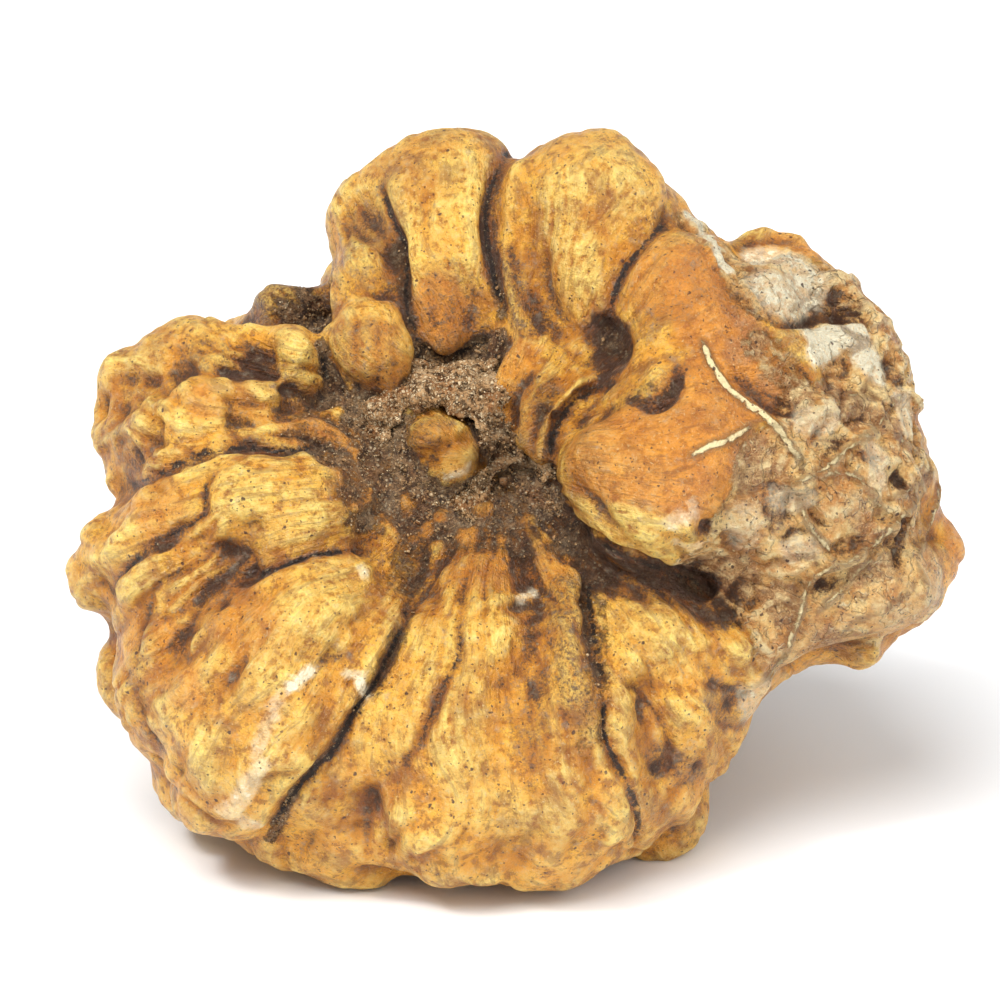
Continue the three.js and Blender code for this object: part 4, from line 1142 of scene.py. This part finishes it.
def skin_material():
    r = Recipe("truffle_skin")
    grain = r.node("ShaderNodeAttribute", attribute_name="grain").outputs["Vector"]
    grain = r.node("ShaderNodeVectorMath", {0: grain, 3: MM}, operation="SCALE").outputs["Vector"]
    wavy, where = r.bent(2.0, 1.2), r.bent(0.4, 0.40)
    clouds = r.noise(8.0, 3.0)
    blotches = r.noise(2.6, 4.0, roughness=0.6)
    mottle = r.noise(1.0, 5.0, roughness=0.68)
    fine = r.noise(0.34, 4.0, roughness=0.7)
    streaks = r.noise(1.1, 4.0, grain, roughness=0.62)
    inputs = {"Vector": r.place, "Scale": 1900.0, "Detail": 4.0, "Roughness": 0.75, "Distortion": 1.8}
    fibres = r.node("ShaderNodeTexNoise", inputs).outputs["Fac"]
    valley, stain, crest, seam = r.layer("valley"), r.layer("stain"), r.layer("crest"), r.layer("seam")

    # golden ochre, drifting lighter and darker, with soft brown clouds and a fine mottle
    colour = r.mix(r.step(clouds, 0.36, 0.62), paint(192, 120, 26), paint(230, 158, 44))
    colour = r.tint(colour, r.step(blotches, 0.44, 0.68), 0.60, paint(255, 200, 78))
    brown = r.step(r.noise(3.6, 5.0, wavy, roughness=0.68), 0.49, 0.63)
    colour = r.tint(colour, brown, 0.70, paint(140, 76, 28))
    colour = r.tint(colour, r.step(mottle, 0.49, 0.37), 0.66, paint(142, 80, 26))
    # crests rubbed pale, and lightened as a painted highlight
    raised = r.plus(crest, 0.75, r.times(r.layer("edge"), 0.45))
    rubbed_and_highlit = r.plus(r.layer("pale"), 0.75, raised)
    rubbed_and_highlit = r.times(rubbed_and_highlit, r.step(r.math("ADD", streaks, mottle), 0.70, 1.30))
    colour = r.mix(rubbed_and_highlit, colour, paint(255, 222, 118))
    # orange-brown skin
    orange = r.mix(r.step(blotches, 0.34, 0.68), paint(232, 152, 54), paint(186, 104, 34))
    orange = r.tint(orange, r.step(mottle, 0.52, 0.36), 0.45, paint(150, 78, 30))
    colour = r.tint(colour, grown(r, r.layer("ruddy"), clouds, 0.62, 1.10, 0.7), 0.75, orange)
    mauve = r.mix(r.step(fibres, 0.40, 0.62), paint(186, 130, 84), paint(122, 80, 50))
    colour = r.tint(colour, grown(r, r.layer("grey"), mottle, 0.60, 1.00, 0.7), 0.55, mauve)
    # a net of fine wrinkles
    net = ridged(r, r.noise(1.5, 3.0, where), 0.030)
    wrinkled = r.times(r.step(r.math("ADD", blotches, r.times(valley, 0.4)), 0.40, 0.75), 0.50)
    colour = r.tint(colour, net, wrinkled, paint(140, 86, 30))
    # the torn side
    papery, plates = torn_colour(r, wavy, mottle, fibres)
    torn = grown(r, r.layer("torn"), mottle, 0.74, 1.00, 0.8)
    colour = r.mix(torn, colour, papery)
    # brown stains, and painted shade in valleys and beside the seams, thick with fine dark grains
    seam_shade = r.times(r.math("POWER", seam, 3.0), 0.22)
    dirt_and_shade = r.plus(valley, 0.95, r.plus(stain, 0.75, seam_shade))
    grainy = r.plus(mottle, 1.5, r.plus(fine, 0.9, -0.70))
    shade_and_dirt_film = r.times(grown(r, dirt_and_shade, grainy, 0.58, 1.25, 0.80), 0.80)
    colour = r.mix(shade_and_dirt_film, colour, paint(130, 76, 32))
    colour = r.tint(colour, grown(r, dirt_and_shade, grainy, 0.95, 1.50, 0.85), 0.90, paint(72, 42, 22))
    specks = r.times(grown(r, dirt_and_shade, fine, 0.66, 0.82, 0.26), 0.80)
    colour = r.mix(specks, colour, paint(66, 40, 24))
    # fine brown streaks along the grain
    colour = r.tint(colour, r.step(streaks, 0.53, 0.64), 0.50, paint(136, 76, 26))
    # bare flesh
    flesh = r.mix(r.step(fibres, 0.46, 0.70), paint(255, 244, 212), paint(252, 220, 164))
    colour = r.tint(colour, grown(r, r.layer("cream"), mottle, 0.50, 1.00, 0.80), 0.45, flesh)
    colour = r.mix(grown(r, r.layer("cream"), mottle, 0.98, 1.10, 0.80), colour, flesh)
    vein = r.plus(r.math("SUBTRACT", mottle, 0.5), 0.5, r.layer("vein"))
    colour = r.tint(colour, r.step(vein, 0.42, 0.68), 0.60, paint(132, 84, 42))
    thread = r.step(vein, 0.76, 0.86)
    colour = r.tint(colour, thread, 0.90, paint(255, 232, 176))
    # tiny pale flecks where it is clean: painted glints
    glint_flecks = r.times(r.step(fine, 0.57, 0.70), r.math("SUBTRACT", 0.40, r.times(shade_and_dirt_film, 0.4)))
    colour = r.mix(glint_flecks, colour, paint(255, 232, 174))
    # dark dots, crowded in some places and few in others
    for size, radius, strength, fewest in ((2.0, 0.19, 0.90, 0.82), (0.75, 0.11, 0.80, 0.78)):
        dot, own = r.dots(size, radius, where)
        chosen = r.step(r.plus(blotches, 1.6, own), fewest, fewest + 0.18)
        colour = r.tint(colour, r.times(dot, chosen), strength, paint(74, 44, 32))
    # dusty earth: a film with a little painted shade in it, sand, and black painted shade in the narrow creases
    sand, _ = soil(r, where, ((0.40, 0.14),))
    grit = r.noise(0.45, 4.0, roughness=0.8)
    earth_and_shade = r.plus(valley, 0.10, r.layer("earth"))
    colour = r.tint(colour, r.step(earth_and_shade, 0.0, 1.0), 0.60, paint(112, 76, 44))
    patchy = r.plus(blotches, 0.5, r.times(grit, 0.75))
    dusted = grown(r, earth_and_shade, patchy, 0.78, 1.02, 0.50)
    colour = r.tint(colour, dusted, 0.85, sand)
    black = r.step(r.plus(fine, 0.5, seam), 0.99, 1.10)
    crease_shade_and_sand = r.mix(r.step(fine, 0.60, 0.70), paint(34, 23, 16), paint(190, 164, 124))
    colour = r.tint(colour, black, 0.9, crease_shade_and_sand)

    # the fine relief: a bump works its height out three times, so it is kept simple
    relief = r.plus(streaks, 1.1, r.times(mottle, 1.2))
    relief = r.plus(fine, 0.6, relief)
    relief = r.math("ADD", r.times(r.math("ADD", fibres, plates), torn), relief)
    relief = r.math("ADD", thread, relief)
    relief = r.plus(r.times(grit, dusted), 1.5, relief)
    bump = r.node("ShaderNodeBump", {"Strength": 1.0, "Distance": 0.60 * MM, "Height": relief})
    gloss = r.plus(dusted, 0.45, r.plus(fine, 0.30, 0.18))
    return r.finish(colour, gloss, bump.outputs["Normal"], Specular_IOR_Level=0.60)


skin.data.materials.clear()
skin.data.materials.append(skin_material())
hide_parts("truffle")
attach(skin, "root")
print("skin material:", len(skin.data.materials[0].node_tree.nodes), "nodes")

# %% [markdown]
# ## Earth
#
# The hollow and the pit beside it are packed with grey-brown earth full of sand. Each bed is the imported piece
# of earth, rebuilt as small squares and roughened. Loose crumbs lie on the beds and on the skin around them:
# each is one small twenty-sided ball, squashed and turned its own way, so that thousands of them stay light.

# %% Earth material
def earth_material():
    r = Recipe("earth")
    colour, height = soil(r, r.bent(0.5, 0.40), ((0.55, 0.17), (0.30, 0.11)))
    clods = r.plus(r.layer("tint"), 0.6, r.times(r.noise(1.4, 3.0), 0.6))
    colour = r.tint(colour, r.step(clods, 0.35, 0.80), 0.5, paint(160, 126, 86))
    # painted shade where the bed dips
    colour = r.tint(colour, r.layer("damp"), 0.60, paint(56, 38, 24))
    bump = r.node("ShaderNodeBump", {"Strength": 0.9, "Distance": 0.25 * MM, "Height": height})
    return r.finish(colour, 0.95, bump.outputs["Normal"], Specular_IOR_Level=0.2)


earth = earth_material()

# %% The beds of earth
BED_VOXEL = 0.32
BED_RISE = {"hollow_earth": 0.0, "pit_earth": -0.9}  # how far the bed is packed up against the skin, mm
# where the bed lies deeper and is darkened as painted shade: depth, width, points
BED_DIPS = read_strokes("""
    0.7 2.8: 1.6 46, 0.6 42.6, 4.4 38.8; 0.5 2: -10.4 44.6, -9.8 41.6; 0.4 1.6: -6.4 53, 0 54;
""")


def earth_bed(node):
    bed = copy_of(node, node.replace("earth", "bed"))
    remesh(bed, BED_VOXEL)
    ground = Surface(bed)
    rolling = noise_at(ground.points, 3.2, 61.0)
    clods = noise_at(ground.points, 1.1, 67.0)
    grains = noise_at(ground.points, 0.55, 71.0)
    dips = covered(ground, BED_DIPS)
    bed.data.attributes.new("damp", "FLOAT", "POINT").data.foreach_set("value", np.minimum(1.6 * dips, 1))
    ground.push(BED_RISE[node] + 1.2 * rolling + 0.8 * clods + 0.25 * grains - dips)
    bed.data.shade_smooth()
    bed.data.materials.append(earth)
    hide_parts(node)
    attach(bed, "root")
    return ground


beds = [earth_bed(node) for node in ("hollow_earth", "pit_earth")]
print("beds:", [len(bed.points) for bed in beds], "points")

# %% Loose crumbs
CRUMBS_ON_SKIN = 7000
CRUMBS_ON_BEDS = 5000
CRUMB_SIZE = 0.08  # typical radius, mm
CRUMB_SPREAD = 0.12  # crumbs lie about this far from a point of the ground, mm
draw = np.random.default_rng(SEED)


def crumb_ball():
    """The corners and faces of one rounded crumb, 1 across its radius."""
    bm = bmesh.new()
    bmesh.ops.create_icosphere(bm, subdivisions=1, radius=1.0)
    corners = np.array([v.co for v in bm.verts])
    faces = np.array([[v.index for v in face.verts] for face in bm.faces])
    bm.free()
    return corners, faces


def crumbs(name, places, normals):
    """One piece made of a crumb at each place, pressed a little into what it lies on."""
    corners, faces = crumb_ball()
    count = len(places)
    size = CRUMB_SIZE * np.exp(draw.normal(0, 0.45, count))
    squash = draw.uniform(0.4, 1.4, (count, 1, 3))
    turn = np.linalg.qr(draw.normal(size=(count, 3, 3)))[0]
    uneven = squash * draw.uniform(0.8, 1.15, (count, len(corners), 1))
    balls = np.einsum("nij,nkj->nki", turn, corners[None] * uneven)
    points = (balls * size[:, None, None] + (places + normals * (0.35 * size)[:, None])[:, None, :]) * MM
    numbers = (faces[None] + len(corners) * np.arange(count)[:, None, None]).reshape(-1, 3)
    mesh = bpy.data.meshes.new(name)
    mesh.from_pydata(points.reshape(-1, 3), [], numbers)
    tint = mesh.attributes.new("tint", "FLOAT", "POINT")
    tint.data.foreach_set("value", np.repeat(draw.random(count), len(corners)))
    piece = placed(name, mesh)
    mesh.materials.append(earth)
    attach(piece, "root")
    return piece


def scattered(ground, weight, count):
    """Places and normals for that many crumbs, more of them where the weight is high."""
    picked = draw.choice(len(ground.points), count, p=weight / weight.sum())
    jitter = draw.normal(0, CRUMB_SPREAD, (count, 3))
    return ground.points[picked] + jitter, ground.normals[picked]


strewn = scattered(surface, np.clip(layers["earth"] - 0.25, 0, 1) ** 1.5, CRUMBS_ON_SKIN)
crumbs("skin_crumbs", *strewn)
sizes = [len(bed.points) for bed in beds]
for bed, name in zip(beds, ("hollow_crumbs", "pit_crumbs")):
    upward = np.clip(bed.normals @ np.array(OUT), 0, 1)
    crumbs(name, *scattered(bed, upward, CRUMBS_ON_BEDS * len(bed.points) // sum(sizes)))
print("crumbs:", CRUMBS_ON_SKIN + CRUMBS_ON_BEDS)

# %% [markdown]
# ## Floor, light and camera
#
# The truffle stands on a plain white floor. A soft light comes from above in front, a narrow one from the
# upper left brings out the wrinkles, a broad one fills in from the right, and the pale surroundings do the
# rest.

# %% Floor, light and camera
FLOOR_HALF = 3.0  # half the floor's width, m
LENS = 180  # a long lens, mm
SURROUNDINGS = 0.36  # how bright the white surroundings are
LIGHTS = [  # name, where it comes from, energy, how broad it is in degrees
    ("key", (-0.26, -0.50, 1.0), 2.5, 40),
    ("narrow_key", (-0.50, -0.35, 0.9), 1.2, 12),
    ("fill", (0.80, -0.75, 0.85), 1.4, 70),
]


def floor():
    mesh = bpy.data.meshes.new("floor")
    bm = bmesh.new()
    bmesh.ops.create_grid(bm, x_segments=1, y_segments=1, size=FLOOR_HALF)
    bm.to_mesh(mesh)
    bm.free()
    piece = placed("floor", mesh)
    r = Recipe("white_floor")
    shade = r.mix(r.noise(60.0), (0.93, 0.94, 0.95, 1), (0.94, 0.95, 0.96, 1))
    bump = r.node("ShaderNodeBump", {"Strength": 0.02, "Distance": MM, "Height": r.noise(2.0)})
    mesh.materials.append(r.finish(shade, 0.9, bump.outputs["Normal"]))


floor()
for name, source, energy, breadth in LIGHTS:
    sun = bpy.data.lights.new(name, "SUN")
    sun.energy = energy
    sun.angle = math.radians(breadth)
    lamp = placed(name, sun)
    lamp.rotation_mode = "QUATERNION"
    lamp.rotation_quaternion = Vector(source).to_track_quat("Z", "Y")

world = bpy.data.worlds.new("studio")
world.use_nodes = True
world.node_tree.nodes["Background"].inputs["Color"].default_value = (1.0, 1.0, 1.0, 1.0)
world.node_tree.nodes["Background"].inputs["Strength"].default_value = SURROUNDINGS
bpy.context.scene.world = world
bpy.context.scene.view_settings.view_transform = "Standard"

camera_lens = bpy.data.cameras.new("camera")
camera_lens.lens = LENS
camera_lens.sensor_width = 36
camera = placed("camera", camera_lens)
camera.location = EYE
camera.rotation_mode = "QUATERNION"
camera.rotation_quaternion = OUT.to_track_quat("Z", "Y")
bpy.context.scene.camera = camera
